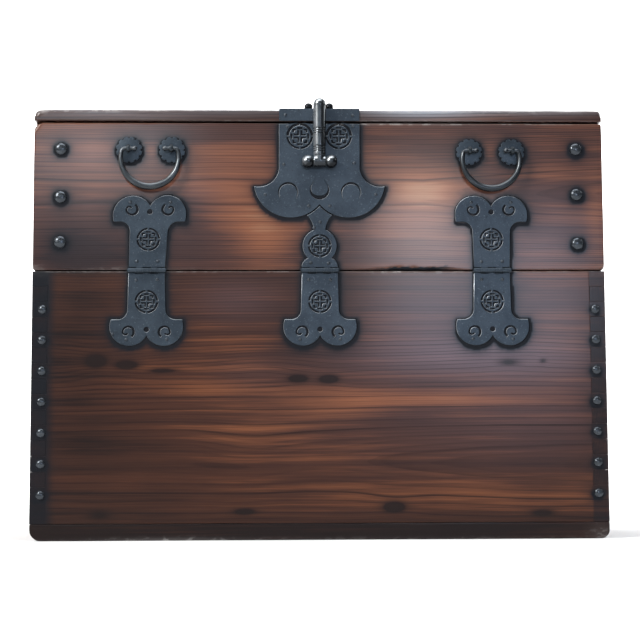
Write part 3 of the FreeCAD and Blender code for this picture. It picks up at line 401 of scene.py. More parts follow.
def boxGrid(low, high, rims, pitches):
    # The six faces of a box as one list of points and quads that face outwards.
    places = [boxSpacing(low[axis], high[axis], rims[axis], pitches[axis]) for axis in range(3)]
    points, faces, count = [], [], 0
    for axis in range(3):
        u, v = (axis + 1) % 3, (axis + 2) % 3
        first, second = np.meshgrid(places[u], places[v], indexing="ij")
        for end, level in ((0, low[axis]), (1, high[axis])):
            sheet = np.zeros((first.size, 3))
            sheet[:, axis] = level
            sheet[:, u] = first.ravel()
            sheet[:, v] = second.ravel()
            quads = gridFaces(len(places[u]), len(places[v]))
            quads = quads if end == 0 else quads[:, ::-1]
            points.append(sheet)
            faces.append(quads + count)
            count += len(sheet)
    return np.concatenate(points), np.concatenate(faces)


def roundedBox(low, high, radius, pitches, rim):
    # A box whose arrises are rounded: each point is drawn to the nearest point of the box shrunk by
    # the radius, and pushed out again by the radius, which may differ from point to point.
    low, high = np.asarray(low, float), np.asarray(high, float)
    rims = [min(rim, 0.45 * (high[axis] - low[axis])) for axis in range(3)]
    points, faces = boxGrid(low, high, rims, pitches)
    r = radius(points) if callable(radius) else np.full(len(points), radius)
    r = np.minimum(r, 0.49 * np.min(high - low))[:, None]
    core = np.clip(points, low + r, high - r)
    reach = points - core
    length = np.maximum(np.linalg.norm(reach, axis=1, keepdims=True), 1e-9)
    rounded = core + reach / length * r
    wear = np.clip((length / r - 1.0) / 0.25, 0, 1)[:, 0]
    return rounded, faces, wear


def joined(parts):
    # Several lists of points, faces and wear as one.
    counts = np.cumsum([0] + [len(part[0]) for part in parts])
    faces = np.concatenate([part[1] + count for part, count in zip(parts, counts)])
    return np.concatenate([part[0] for part in parts]), faces, np.concatenate([part[2] for part in parts])


def closed(piece):
    # Merge the doubled rows along the box's edges, so that the surface is one closed skin.
    work = bmesh.new()
    work.from_mesh(piece.data)
    bmesh.ops.remove_doubles(work, verts=work.verts, dist=2e-6)
    work.to_mesh(piece.data)
    work.free()
    piece.data.update()


# Stains and painted shade round the ironwork: how near a board's point lies to the fittings on its face

stainAndShadeLook = {
    # the contact values paint shade right at the iron; the run shifts the stain down and right, as rust run and
    # as painted shadow
    "near": 0.0066, "nearStrength": 0.62, "far": 0.019, "farStrength": 0.42, "farPower": 1.6,
    "contactShade": 0.0042, "contactShadeStrength": 0.15, "uneven": 0.25, "cell": 0.002, "runAndShadow": (0.0010, 0.0, -0.0022),
    "faceDepth": 0.004,  # how far behind the front face a point still counts as on it
    "before": 0.006, "behind": 0.002,  # how far off the front face a fitting's point still stains it
    "wallSlope": 0.3, "wallSteps": 40, "blockRows": 1500,
}


def wallPoints(name):
    # Points along the sides of a node's triangles that stand square to the front, as an outline's do.
    mesh = nodes[name].data
    order = np.zeros(len(mesh.loops), int)
    mesh.loops.foreach_get("vertex_index", order)
    sides = vertices(name)[order].reshape(-1, 3, 3)
    normals = np.cross(sides[:, 1] - sides[:, 0], sides[:, 2] - sides[:, 0])
    walls = sides[np.abs(normals[:, 1]) < stainAndShadeLook["wallSlope"] * np.linalg.norm(normals, axis=1)]
    share = np.linspace(0, 1, stainAndShadeLook["wallSteps"])[:, None, None, None]
    return (walls + (np.roll(walls, 1, axis=1) - walls) * share).reshape(-1, 3)


stainingNodes = ("hinge", "lock", "handle", "flap_nails", "corner_nails")


def fittingPoints():
    # Places of the ironwork that lies within a few millimetres of the boards' front face.
    found = []
    for name in nodes:
        if name.startswith(stainingNodes) and not name.endswith("bail"):
            points = np.concatenate([vertices(name), wallPoints(name)])
            behind = points[:, 1] - frontFace
            near = (behind < stainAndShadeLook["behind"]) & (behind > -stainAndShadeLook["before"])
            found.append(points[near][:, [0, 2]])
    cells = np.unique(np.round(np.concatenate(found) / stainAndShadeLook["cell"]).astype(int), axis=0)
    return cells * stainAndShadeLook["cell"]


fittings = fittingPoints()


def fittingDistance(points):
    # Least distance in X and Z from each point to the ironwork, worked out in blocks of rows.
    size = stainAndShadeLook["blockRows"]
    blocks = [points[start:start + size, [0, 2]] for start in range(0, len(points), size)]
    return np.concatenate([
        np.sqrt(((block[:, None, :] - fittings[None, :, :]) ** 2).sum(2).min(1)) for block in blocks])


def onFront(points):
    return points[:, 1] < frontFace + stainAndShadeLook["faceDepth"]


def stainAndShadeNear(points):
    # Blue-black stain round the iron, shifted down and to the right as rust that has run down and as a painted
    # shadow:
    # a narrow dark band, a wide soft one, and a last touch of painted contact shade where iron and wood meet,
    # all bell curves of the distance, which waves make uneven.
    uneven = 1 + stainAndShadeLook["uneven"] * waves(points, 71, (60.0, 1.0, 60.0))
    far = fittingDistance(points - stainAndShadeLook["runAndShadow"]) * uneven
    tight = stainAndShadeLook["nearStrength"] * np.exp(-(far / stainAndShadeLook["near"]) ** 2)
    wide = stainAndShadeLook["farStrength"] * np.exp(-(far / stainAndShadeLook["far"]) ** stainAndShadeLook["farPower"])
    contactShade = stainAndShadeLook["contactShadeStrength"] * np.exp(-(far / stainAndShadeLook["contactShade"]) ** 2)
    return np.minimum(tight + wide, 1.0) * onFront(points) + contactShade


def spots(points, places):
    # Sum of soft ellipses in X and Z: each is a centre, two half widths and a strength.
    total = np.zeros(len(points))
    for x, z, wide, high, strength in places:
        total += strength * np.exp(-((points[:, 0] - x) / wide) ** 2 - ((points[:, 2] - z) / high) ** 2)
    return total


# Boards. Warm and dark zones, lacquer bloom with a painted sheen, and knots are places on the front, in metres.

flapZones = [
    (-0.085, 0.47, 0.048, 0.04, 0.34), (-0.085, 0.52, 0.075, 0.034, 0.26),
    (0.165, 0.545, 0.07, 0.034, 0.52), (0.15, 0.49, 0.085, 0.026, 0.2),
    (-0.35, 0.595, 0.1, 0.045, 0.16), (-0.15, 0.585, 0.07, 0.045, 0.12),
    (-0.375, 0.45, 0.08, 0.038, -0.5), (0.052, 0.452, 0.026, 0.045, -0.08),
    (0.436, 0.505, 0.016, 0.055, 0.16), (0.375, 0.575, 0.07, 0.022, 0.12),
    (0.15, 0.618, 0.07, 0.015, -0.12), (-0.19, 0.632, 0.11, 0.012, -0.12),
    (-0.2, 0.47, 0.035, 0.05, -0.14), (0.02, 0.64, 0.4, 0.01, -0.08),
    (0.25, 0.45, 0.11, 0.04, 0.06), (0.265, 0.612, 0.03, 0.012, 0.16),
    (0.34, 0.545, 0.05, 0.02, -0.08), (0.2, 0.64, 0.1, 0.008, 0.06),
]
flapBloomAndSheen = [
    (0.0, 0.54, 1.5, 0.2, 0.17), (0.3, 0.445, 0.16, 0.03, 0.26),
    (0.38, 0.49, 0.07, 0.05, 0.2), (-0.35, 0.61, 0.1, 0.03, 0.2),
    (0.15, 0.5, 0.09, 0.03, 0.22), (-0.2, 0.54, 0.04, 0.03, 0.12),
]
frontZones = [
    (-0.14, 0.305, 0.08, 0.022, 0.15), (-0.19, 0.235, 0.07, 0.014, 0.13),
    (-0.1, 0.165, 0.13, 0.04, 0.13), (0.17, 0.217, 0.16, 0.01, 0.36),
    (0.06, 0.2, 0.06, 0.012, 0.08), (0.01, 0.125, 0.11, 0.035, 0.1),
    (0.2, 0.075, 0.19, 0.02, 0.07), (-0.395, 0.22, 0.065, 0.22, -0.13),
    (-0.31, 0.13, 0.11, 0.1, -0.07), (0.055, 0.385, 0.03, 0.045, -0.06),
    (0.11, 0.188, 0.07, 0.01, -0.1), (-0.42, 0.24, 0.03, 0.03, 0.05),
    (-0.05, 0.245, 0.06, 0.016, -0.06), (0.0, 0.028, 0.6, 0.018, -0.17),
    (0.02, 0.285, 0.06, 0.03, -0.08), (-0.3, 0.38, 0.05, 0.03, 0.05),
    (0.37, 0.15, 0.09, 0.06, -0.08), (-0.33, 0.088, 0.09, 0.01, 0.06),
    (-0.37, 0.36, 0.06, 0.07, -0.2), (0.12, 0.33, 0.09, 0.03, 0.08),
]
frontBloomAndSheen = [
    (0.2, 0.21, 0.3, 0.1, 0.16), (0.17, 0.35, 0.11, 0.055, 0.36),
    (0.38, 0.37, 0.08, 0.06, 0.3), (0.24, 0.285, 0.17, 0.032, 0.72),
    (-0.13, 0.375, 0.07, 0.035, 0.26), (0.33, 0.19, 0.14, 0.07, 0.16),
    (-0.11, 0.26, 0.06, 0.03, 0.08), (0.33, 0.27, 0.11, 0.05, 0.2),
]
knots = [
    (-0.35, 0.278, 0.016, 0.01, 1.0), (-0.302, 0.272, 0.018, 0.007, 0.9),
    (-0.246, 0.263, 0.022, 0.0032, 0.8), (-0.035, 0.25, 0.015, 0.0055, 1.0),
    (0.013, 0.249, 0.015, 0.006, 1.0), (-0.118, 0.044, 0.017, 0.005, 0.8),
    (0.114, 0.05, 0.017, 0.008, 1.0), (-0.342, 0.04, 0.018, 0.008, 0.5),
    (0.345, 0.04, 0.018, 0.005, 0.75), (0.296, 0.275, 0.016, 0.005, 0.55),
    (0.35, 0.277, 0.005, 0.003, 0.6),
]
# rings sag where a bend lies: centre, two half widths and how far
bends = [
    (-0.105, 0.138, 0.075, 0.04, 0.014), (0.3, 0.3, 0.1, 0.05, -0.006),
    (-0.08, 0.28, 0.07, 0.03, -0.006),
]
grain = {"knotPush": 1.5, "knotReach": 2.6, "sinkSlope": 0.0100}
nose = {"flap_panel": 0.165, "front_board": 0.040}  # where the innermost rings close, in X
# the varnish goes dull towards the lower left: least gloss, how the line tilts, and where it starts and ends
varnish = {"least": 0.20, "tilt": 0.32, "start": 0.10, "end": 0.44}
wearDepth = 0.008  # how far behind its front face a board may be rubbed pale


def knotWarp(points):
    # Rings part round each knot: an odd push in Z that fades with the distance from its centre.
    total = np.zeros(len(points))
    for x, z, wide, high, strength in knots:
        along = (points[:, 0] - x) / (grain["knotReach"] * wide)
        up = (points[:, 2] - z) / (grain["knotReach"] * high)
        total += grain["knotPush"] * high * strength * up * np.exp(-along ** 2 - up ** 2)
    return total + spots(points, bends)


def board(
        node, material, parts, zones=(), bloom=(), front=False, knotted=False, dark=None, wornAndHighlitZones=()):
    # One wooden piece from rounded boxes, with its stain, warmth, bloom, knot, grain and wear attributes;
    # stain, bloom and wear also carry painted shade, painted sheen and painted highlights.
    points, faces, wear = joined(parts)
    piece = newPiece(f"{node}_wood", points, faces, woods[material], bodyOf[node])
    mesh = piece.data
    nearFront = points[:, 1] < points[:, 1].min() + wearDepth
    setAttribute(mesh, "worn", np.maximum(wear, nearFront) * np.clip(spots(points, wornAndHighlitZones), 0, 1))
    level = points[:, 2] + varnish["tilt"] * points[:, 0]
    gloss = varnish["least"] + (1 - varnish["least"]) * step(level, varnish["start"], varnish["end"])
    setAttribute(mesh, "gloss", gloss)
    setAttribute(mesh, "warm", spots(points, zones))
    setAttribute(mesh, "bloom", spots(points, bloom))
    stain = stainAndShadeNear(points) if front else np.zeros(len(points))
    if dark is not None:
        stain = np.maximum(stain, dark(points))
    setAttribute(mesh, "stain", stain)
    setAttribute(mesh, "knot", spots(points, knots) * onFront(points) * knotted)
    setAttribute(mesh, "warp", knotWarp(points) * knotted)
    setAttribute(mesh, "sink", -grain["sinkSlope"] * np.clip(points[:, 0] - nose.get(node, math.inf), 0, None))
    closed(piece)
    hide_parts(node)
    return piece


boardShape = {
    "pitch": 0.0032, "endPitch": 0.012, "jointArris": 0.0003, "rim": 0.006, "fingerPitch": 0.02405,
    "frontFingers": 15, "backFingers": 26, "topFingers": 15, "jointGap": 0.0002, "lap": 0.0006,
}
pitch, endPitch, jointArris, lap = (boardShape[key] for key in ("pitch", "endPitch", "jointArris", "lap"))
flush = {"reach": 0.003, "behind": 0.010}  # lengths beside a joint's line that stay sharp


def ragged(points, seed, scales=(330.0, 200.0, 200.0)):  # how far a chip's broken edge reaches, about 0.7
    return 0.7 + 0.75 * waves(points, seed, scales)


def arris(base, rough, seed, chips=(), flushEnds=False):
    # Radius of a worn arris: a base, slow swells, and chips, each a place, two half widths and a depth.
    # Flush ends stay sharp, where fingers of the same board go on from them.
    def radius(points):
        seam = (points[:, 1] < flush["reach"] - depthInner) & (points[:, 1] > -depthInner - flush["behind"])
        plain = (np.abs(points[:, 0]) > inner - flush["reach"]) | seam
        swell = waves(points, seed, (30.0, 60.0, 60.0))
        swell = swell + 0.6 * waves(points, seed + 1, (110.0, 90.0, 90.0))
        r = base + rough * np.clip(swell, -0.7, 2.0)
        broken = ragged(points, seed + 2)
        for x, z, wide, high, depth in chips:
            along, up = (points[:, 0] - x) / wide, (points[:, 2] - z) / high
            r = r + depth * broken * np.exp(-along ** 4 - up ** 4)
        return np.maximum(np.where(plain & flushEnds, jointArris, r), jointArris)
    return radius


caseLow, caseHigh = corners("bottom_board")
frontLow, frontHigh = corners("front_board")
thickness = frontHigh[1] - frontLow[1]
inner = caseHigh[0] - thickness
depthInner = caseHigh[1] - thickness
flapLow, flapHigh = corners("flap_panel")
flapWear = [
    (0.150, flapLow[2], 0.060, 0.008, 0.0044), (-0.20, flapLow[2], 0.02, 0.006, 0.0008),
    (flapLow[0], flapHigh[2], 0.010, 0.010, 0.0060), (flapLow[0], flapLow[2], 0.006, 0.006, 0.0030),
    (flapHigh[0], flapLow[2], 0.006, 0.006, 0.0030), (flapHigh[0], flapHigh[2], 0.006, 0.006, 0.0020),
]
seamChip = {"x": 0.150, "half": 0.058, "height": 0.0052, "least": 0.0012, "soft": 0.0010, "strength": 1.2}


def chipShadow(points):
    # The chipped length of the flap's lower edge is dark and ragged: a band whose height follows waves.
    window = np.exp(-((points[:, 0] - seamChip["x"]) / seamChip["half"]) ** 4)
    broken = seamChip["least"] + seamChip["height"] * ragged(points, 7, (330.0, 0.0, 0.0))
    height = flapLow[2] + broken - points[:, 2]
    return seamChip["strength"] * window * step(height, 0.0, seamChip["soft"])


# the flap's top arris is rubbed pale by wear, and in the middle and right also by a painted reflection
board("flap_panel", "flapWood", [roundedBox(
    flapLow, flapHigh, arris(0.0012, 0.0005, 5, flapWear), (pitch, endPitch, pitch), boardShape["rim"])],
    zones=flapZones, bloom=flapBloomAndSheen, front=True, dark=chipShadow, wornAndHighlitZones=[
        (0.130, flapHigh[2], 0.110, 0.0022, 0.9), (0.30, flapHigh[2], 0.200, 0.0016, 0.45),
        (flapLow[0], flapLow[2], 0.012, 0.006, 0.9), (flapHigh[0], flapLow[2], 0.006, 0.006, 0.5),
        (-0.29, flapLow[2], 0.07, 0.004, 0.25)])

topLow, topHigh = corners("top_board")


def spans(start, size, blocks):
    # Low and high ends of numbered blocks of one size each, up or down, with the joint's gap between them.
    gap = boardShape["jointGap"] / 2
    ends = [sorted((start + size * block, start + size * (block + 1))) for block in blocks]
    return [(low + gap, high - gap) for low, high in ends]


bottomTop, topUnder, frontTop = caseHigh[2], topLow[2], frontHigh[2]
backPitch = (topUnder - bottomTop) / boardShape["backFingers"]
topPitch = 2 * depthInner / boardShape["topFingers"]
frontPitch = -boardShape["fingerPitch"]
frontBlocks = range(boardShape["frontFingers"])
backBlocks = range(boardShape["backFingers"])
topBlocks = range(boardShape["topFingers"])
fingerEnds = [(-caseHigh[0], lap - inner), (inner - lap, caseHigh[0])]  # in X, at the left and the right


# stain at the finger-jointed corners: strengths, and how far it spreads over the front board and the sides
cornerStain = {
    "left": 0.95, "right": 0.66, "uneven": 0.08, "rightSide": 0.76, "leftSpread": 0.020, "rightSpread": 0.004,
    "sideSpread": 0.030, "faceDepth": 0.006, "above": 0.001,
}


def finger(low, high):
    return roundedBox(low, high, jointArris, (endPitch, endPitch, endPitch), 0.002)


def fingerStain(points):
    # The finger-jointed corners are nearly black: the stain rises over the last bit of the front
    # board, softly on the left, and is a little thinner on the right, where waves make it uneven.
    left = points[:, 0] < 0
    leftEdge = step(-points[:, 0], inner - cornerStain["leftSpread"], inner + 0.002)
    rightEdge = step(points[:, 0], inner - cornerStain["rightSpread"], inner + 0.001)
    thin = cornerStain["right"] + cornerStain["uneven"] * waves(points, 81, (0.0, 0.0, 50.0))
    strength = np.where(left, cornerStain["left"], thin) * np.where(left, leftEdge, rightEdge)
    below = points[:, 2] < frontTop + cornerStain["above"]
    return strength * below * (points[:, 1] < frontFace + cornerStain["faceDepth"])


frontParts = [roundedBox(
    (-inner, frontLow[1], frontLow[2]), (inner, frontHigh[1], frontTop),
    arris(0.0010, 0.0004, 9, [(0.14, frontTop, 0.055, 0.006, 0.0010)], flushEnds=True),
    (pitch, endPitch, pitch), boardShape["rim"])]
lastLevel = frontTop + frontPitch * (len(frontBlocks) - 1)
for left, right in fingerEnds:
    for start, end in spans(frontTop, frontPitch, frontBlocks[0:-1:2]) + [(frontLow[2], lastLevel)]:
        frontParts.append(finger((left, frontLow[1], start), (right, frontHigh[1], end)))
# the band along the whole top arris is rubbed pale by wear and by a painted highlight of the light it catches
board("front_board", "frontWood", frontParts, frontZones, frontBloomAndSheen, front=True, knotted=True,
      dark=fingerStain, wornAndHighlitZones=[(0.0, frontTop, 0.90, 0.0016, 0.42), (0.130, frontTop, 0.060, 0.0030, 0.75)])


def sideStain(points):  # the same dark at the fingers, fading over the first of the side board
    front = step(-points[:, 1], depthInner - cornerStain["sideSpread"], depthInner + 0.004)
    strength = np.where(points[:, 0] < 0, cornerStain["left"], cornerStain["rightSide"])
    return strength * front * (points[:, 2] < frontTop + cornerStain["above"])


for name, side in (("left", -1), ("right", 1)):
    xs = sorted((side * inner, side * caseHigh[0]))
    parts = [roundedBox(
        (xs[0], -depthInner, bottomTop), (xs[1], depthInner, topUnder), jointArris,
        (endPitch, pitch * 2, pitch * 2), 0.003)]
    for start, end in spans(frontTop, frontPitch, frontBlocks[1::2]):
        parts.append(finger((xs[0], frontLow[1], start), (xs[1], lap - depthInner, end)))
    for start, end in spans(bottomTop, backPitch, backBlocks[1::2]):
        parts.append(finger((xs[0], depthInner - lap, start), (xs[1], caseHigh[1], end)))
    for start, end in spans(-depthInner, topPitch, topBlocks[0::2]):
        parts.append(finger((xs[0], start, topUnder - lap), (xs[1], end, topHigh[2])))
    board(f"side_board_{name}", "sideWood", parts, dark=sideStain)

backSplit = len(backBlocks) // 2
backFingers = {
    "back_board_lower": backBlocks[0:backSplit:2], "back_board_upper": backBlocks[backSplit + backSplit % 2::2],
}
for node, mine in backFingers.items():
    low, high = corners(node)
    parts = [roundedBox(
        (-inner, low[1], low[2]), (inner, high[1], high[2]),
        arris(0.0012, 0.0005, 21, flushEnds=True), (0.010, endPitch, 0.010), boardShape["rim"])]
    for left, right in fingerEnds:
        for start, end in spans(bottomTop, backPitch, mine):
            parts.append(finger((left, low[1], start), (right, high[1], end)))
    board(node, "backWood", parts)


topWear = {
    "upper": 0.009, "round": 0.0038, "swell": 0.0012, "chips": 0.0018, "leftEnd": 0.0046, "rightEnd": 0.0016,
    "sharp": 0.009, "left": (0.20, 0.36), "atLeftEnd": (0.425, 0.45), "atRightEnd": (0.43, 0.45),
}


def topArris(points):
    # The top's upper front arris is rubbed round and chipped, most at the left, and its ends more so.
    base = arris(0.0010, 0.0004, 33)(points)
    upperFront = (points[:, 2] > topLow[2] + topWear["upper"]) & (points[:, 1] < 0)
    swell = topWear["round"] + topWear["swell"] * waves(points, 35, (45.0, 30, 30))
    chips = topWear["chips"] * np.clip(waves(points, 37, (260.0, 120, 120)) - 0.25, 0, 1)
    left = step(-points[:, 0], *topWear["left"])
    ends = topWear["leftEnd"] * step(-points[:, 0], *topWear["atLeftEnd"])
    ends = ends + topWear["rightEnd"] * step(points[:, 0], *topWear["atRightEnd"])
    worked = base + upperFront * (swell + chips * (0.4 + 1.2 * left) + ends)
    return np.where(points[:, 1] > -depthInner - topWear["sharp"], jointArris, worked)


topZones = [(0.160, topHigh[2], 0.130, 0.03, 0.10), (-0.330, topHigh[2], 0.110, 0.03, 0.06)]
# bloom and painted sheen along the top board's front, strongest in the middle, where it is a painted reflection
topBloomAndSheen = [
    (0.165, topHigh[2], 0.090, 0.012, 1.0), (-0.350, topHigh[2], 0.110, 0.010, 0.25),
    (-0.13, topHigh[2], 0.120, 0.012, 0.16), (0.36, topHigh[2], 0.110, 0.010, 0.26)]
# a strip along the front over the whole width, and the board behind it
topParts = [
    roundedBox(topLow, (topHigh[0], -depthInner, topHigh[2]), topArris, (0.003, 0.003, 0.003), 0.007),
    roundedBox(
        (-inner, -depthInner - lap, topLow[2]), (inner, topHigh[1], topHigh[2]),
        arris(0.0008, 0.0002, 45, flushEnds=True), (0.010, 0.010, 0.006), 0.004)]
for left, right in fingerEnds:
    topParts.append(finger((left, depthInner, topLow[2]), (right, topHigh[1], topHigh[2])))
    for start, end in spans(-depthInner, topPitch, topBlocks[1::2]):
        topParts.append(finger((left, start, topLow[2]), (right, end, topHigh[2])))
# the top board's upper arris is rubbed pale by wear and chips, and in the middle also by a painted sheen
board("top_board", "topWood", topParts, topZones, topBloomAndSheen, wornAndHighlitZones=[
    (-0.36, topHigh[2], 0.100, 0.0036, 1.0), (-0.13, topHigh[2], 0.090, 0.0020, 0.55),
    (0.16, topHigh[2], 0.090, 0.0045, 0.75), (0.330, topHigh[2], 0.100, 0.0060, 0.35),
    (-0.445, topHigh[2], 0.012, 0.0080, 0.7), (0.05, topLow[2], 0.30, 0.0012, 0.3)])


footCorner = {"left": 0.018, "right": 0.0135, "reach": 0.026}


def bottomBox():
    # The bottom board, whose end corners are cut round: X is drawn in along an arc below its radius.
    points, faces, wear = roundedBox(
        caseLow, caseHigh, arris(0.0016, 0.0008, 41), (pitch, 0.008, 0.003), 0.012)
    radius = np.where(points[:, 0] < 0, footCorner["left"], footCorner["right"])
    rise = np.clip(radius - points[:, 2], 0, None)
    cut = radius - np.sqrt(np.clip(radius ** 2 - rise ** 2, 0, None))
    reach = footCorner["reach"]
    share = np.clip((np.abs(points[:, 0]) - (caseHigh[0] - reach)) / reach, 0, 1)
    points[:, 0] -= np.sign(points[:, 0]) * cut * share
    return points, faces, wear


board("bottom_board", "bottomWood", [bottomBox()], [(0.42, 0.012, 0.080, 0.03, 0.10)], wornAndHighlitZones=[
    (-0.230, 0.0, 0.080, 0.004, 0.60), (0.0, 0.0, 0.50, 0.003, 0.22), (0.440, 0.0, 0.02, 0.02, 0.3)])
for name in ("left", "right"):
    low, high = corners(f"flap_batten_{name}")
    board(f"flap_batten_{name}", "battenWood", [roundedBox(low, high, 0.0015, (0.006, 0.006, 0.006), 0.004)])
print("boards ready")


# Ironwork: copies of the nodes, merged and shaded smooth, whose plates have eased edges that catch the light
# and get a painted highlight

plateLook = {
    "outlineEase": 0.0013, "piercingEase": 0.0007, "plateSmooth": 14, "smoothAngle": 40, "sharpAngle": 40,
    "grime": 0.75, "upperLeft": (-0.60, 0.0, 0.80),
}
forgedLook = {
    "cell": 0.0006, "passes": 3, "grooves": (0.6440, 0.6405, 0.6370, 0.6150, 0.6115, 0.6080),
    "grooveHalf": 0.0008, "grooveDepth": 0.0005, "grooveShade": 0.8,
}
# how bright a forged piece is rubbed all over, how much painted highlight it gets where it faces the upper
# left, and how much painted shade where it faces away
rubsAndPaintedLight = {
    "hasp": (0.08, 0.62, 0.50), "hasp_post_left": (0.08, 0.55, 0.85), "hasp_post_right": (0.08, 0.55, 0.85),
    "handle_left_bail": (0.06, 0.16, 0.30), "handle_right_bail": (0.03, 0.12, 0.35),
}
shades = {"top_post_left": 0.8, "top_post_right": 0.8, "handle_left_bail": 0.05, "handle_right_bail": 0.12}


def outlineLoops(work):
    # Sharp edges on the plate's front, sorted into linked loops, the widest first.
    sharp = {edge for edge in work.edges if len(edge.link_faces) == 2
             and edge.calc_face_angle(0) > math.radians(plateLook["sharpAngle"])
             and all(abs(v.co.y - plateFace) < 1e-5 for v in edge.verts)}
    loops = []
    while sharp:
        loop, front = set(), [sharp.pop()]
        while front:
            edge = front.pop()
            loop.add(edge)
            linked = {other for v in edge.verts for other in v.link_edges} & sharp
            sharp -= linked
            front += linked
        loops.append(loop)
    return sorted(loops, key=lambda loop: -sum(edge.calc_length() for edge in loop))


def forged(mesh, name):
    # Hammered and filed iron: the shape filled with small even cells, whose corners are then smoothed.
    rough = newObject(f"{name}_rough", mesh)
    cells = rough.modifiers.new("cells", "REMESH")
    cells.mode, cells.voxel_size, cells.adaptivity = "VOXEL", forgedLook["cell"], 0.0
    filed = rough.modifiers.new("filed", "SMOOTH")
    filed.factor, filed.iterations = 0.5, forgedLook["passes"]
    shaped = bpy.data.meshes.new_from_object(rough.evaluated_get(bpy.context.evaluated_depsgraph_get()))
    bpy.data.objects.remove(rough)
    return shaped


def grooved(mesh, normals):
    # Turned grooves round the hasp's bar: bells of the height, which draw the skin in along its normals.
    points = rows(mesh.vertices, "co")
    half = forgedLook["grooveHalf"]
    bells = sum(np.exp(-((points[:, 2] - level) / half) ** 2) for level in forgedLook["grooves"])
    mesh.vertices.foreach_set("co", (points - normals * (bells * forgedLook["grooveDepth"])[:, None]).ravel())
    mesh.update()
    return bells


def smoothCopy(node, eased=False):
    mesh = nodes[node].data.copy()
    mesh.name = f"{node}_smooth"
    work = bmesh.new()
    work.from_mesh(mesh)
    bmesh.ops.remove_doubles(work, verts=work.verts, dist=2e-6)
    if eased:
        bmesh.ops.dissolve_limit(work, angle_limit=math.radians(0.6), verts=work.verts, edges=work.edges)
        loops = outlineLoops(work)
        for group, width in ((set().union(*loops[1:]), "piercingEase"), (loops[0], "outlineEase")):
            bmesh.ops.bevel(
                work, geom=list(group), offset=plateLook[width], segments=1, profile=0.5, affect="EDGES",
                clamp_overlap=False)
        bmesh.ops.triangulate(work, faces=[face for face in work.faces if len(face.verts) > 4])
    work.to_mesh(mesh)
    work.free()
    if slotOf[node] == "rubbed_iron":
        mesh = forged(mesh, node)
    mesh.materials.clear()
    mesh.materials.append(irons[slotOf[node]])
    mesh.shade_smooth()
    mesh.set_sharp_from_angle(angle=math.radians(plateLook["plateSmooth" if eased else "smoothAngle"]))
    normals = rows(mesh.vertex_normals, "vector")
    # painted light: facing the upper left, where the key lamp stands, sets a painted highlight; facing away
    # sets painted shade
    facing = normals @ plateLook["upperLeft"]
    plain, lit, away = rubsAndPaintedLight.get(node, (0.0, 0.0, 0.0))
    rub = plain + lit * step(facing, 0.12, 0.52)
    shade = shades.get(node, 0.0) + away * step(-facing, -0.12, 0.40)
    if node == "hasp":
        shade = shade + forgedLook["grooveShade"] * grooved(mesh, normals)
    for key, values in (
            ("rub", rub), ("shade", shade), ("cut", float(eased)),
            # on eased plates the edge values are a painted highlight where an edge faces the upper left, and
            # the last ones painted shade where it faces down
            ("edge", eased * step(facing, -0.10, 0.45)),
            ("grime", eased * plateLook["grime"] * step(-facing, 0.05, 0.45))):
        setAttribute(mesh, key, np.zeros(len(mesh.vertices)) + values)
    piece = newObject(f"{node}_smooth", mesh)
    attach(piece, bodyOf[node])
    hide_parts(node)
    return piece


for node in nodes:
    if slotOf[node] != "wood" and "_nails_" not in node:
        smoothCopy(node, eased=node.endswith("_leaf") or node == "lock_plate")
print("ironwork ready")


# Dome nails and tacks

# the seat is how deep a rim lies in the wood or plate under it
# rub lightens a head as rubbed iron and as a painted glint
nailLook = {
    "flap_nails": {
        "radius": 0.0100, "height": 0.0060, "rings": 9, "sides": 30, "seat": 0.0004, "dent": 0.00025,
        "rub": 0.14, "shade": 0.55},
    "corner_nails": {
        "radius": 0.00725, "height": 0.0045, "rings": 8, "sides": 24, "seat": 0.0004, "dent": 0.00030,
        "rub": 0.14, "shade": 0.55},
    "tack": {
        "radius": 0.0027, "height": 0.0022, "rings": 5, "sides": 12, "seat": 0.0002, "dent": 0.0,
        "rub": 0.08, "shade": 0.30},
}


def domes(centres, look):
    # Domes on a plane that faces -Y: rings shrink by the cosine of a quarter turn and rise by its sine.
    rings, sides, radius, height = (look[key] for key in ("rings", "sides", "radius", "height"))
    turn = np.linspace(0, math.pi / 2, rings + 1)[:-1]
    angle = np.linspace(0, 2 * math.pi, sides, endpoint=False)
    wall = np.stack([
        np.outer(np.cos(turn), np.cos(angle)) * radius,
        np.outer(-np.sin(turn), np.ones(sides)) * height,
        np.outer(np.cos(turn), np.sin(angle)) * radius], axis=2).reshape(-1, 3)
    unit = np.concatenate([wall, [[0, -height, 0], [0, 0, 0]]])
    last, top, base, around = (rings - 1) * sides, rings * sides, rings * sides + 1, np.arange(sides)
    following = (around + 1) % sides
    caps = np.concatenate([
        np.stack([last + around, last + following, np.full(sides, top)], 1),
        np.stack([following, around, np.full(sides, base)], 1)])
    points = (np.asarray(centres)[:, None, :] + unit[None]).reshape(-1, 3)
    dented = points + look["dent"] * np.stack([
        waves(points, seed, 420.0) for seed in (61, 62, 63)], 1)
    quads = gridFaces(rings, sides, wrap=True)
    starts = np.arange(len(centres)) * len(unit)
    walls, ends = (shape[None] + starts[:, None, None] for shape in (quads, caps))
    return dented, walls.reshape(-1, 4).tolist() + ends.reshape(-1, 3).tolist()


def nailPiece(name, centres, look, body):
    points, faces = domes(centres, look)
    piece = newPiece(name, points, faces, irons["iron"], body)
    for key in ("rub", "shade"):
        setAttribute(piece.data, key, np.full(len(points), look[key]))
    return piece


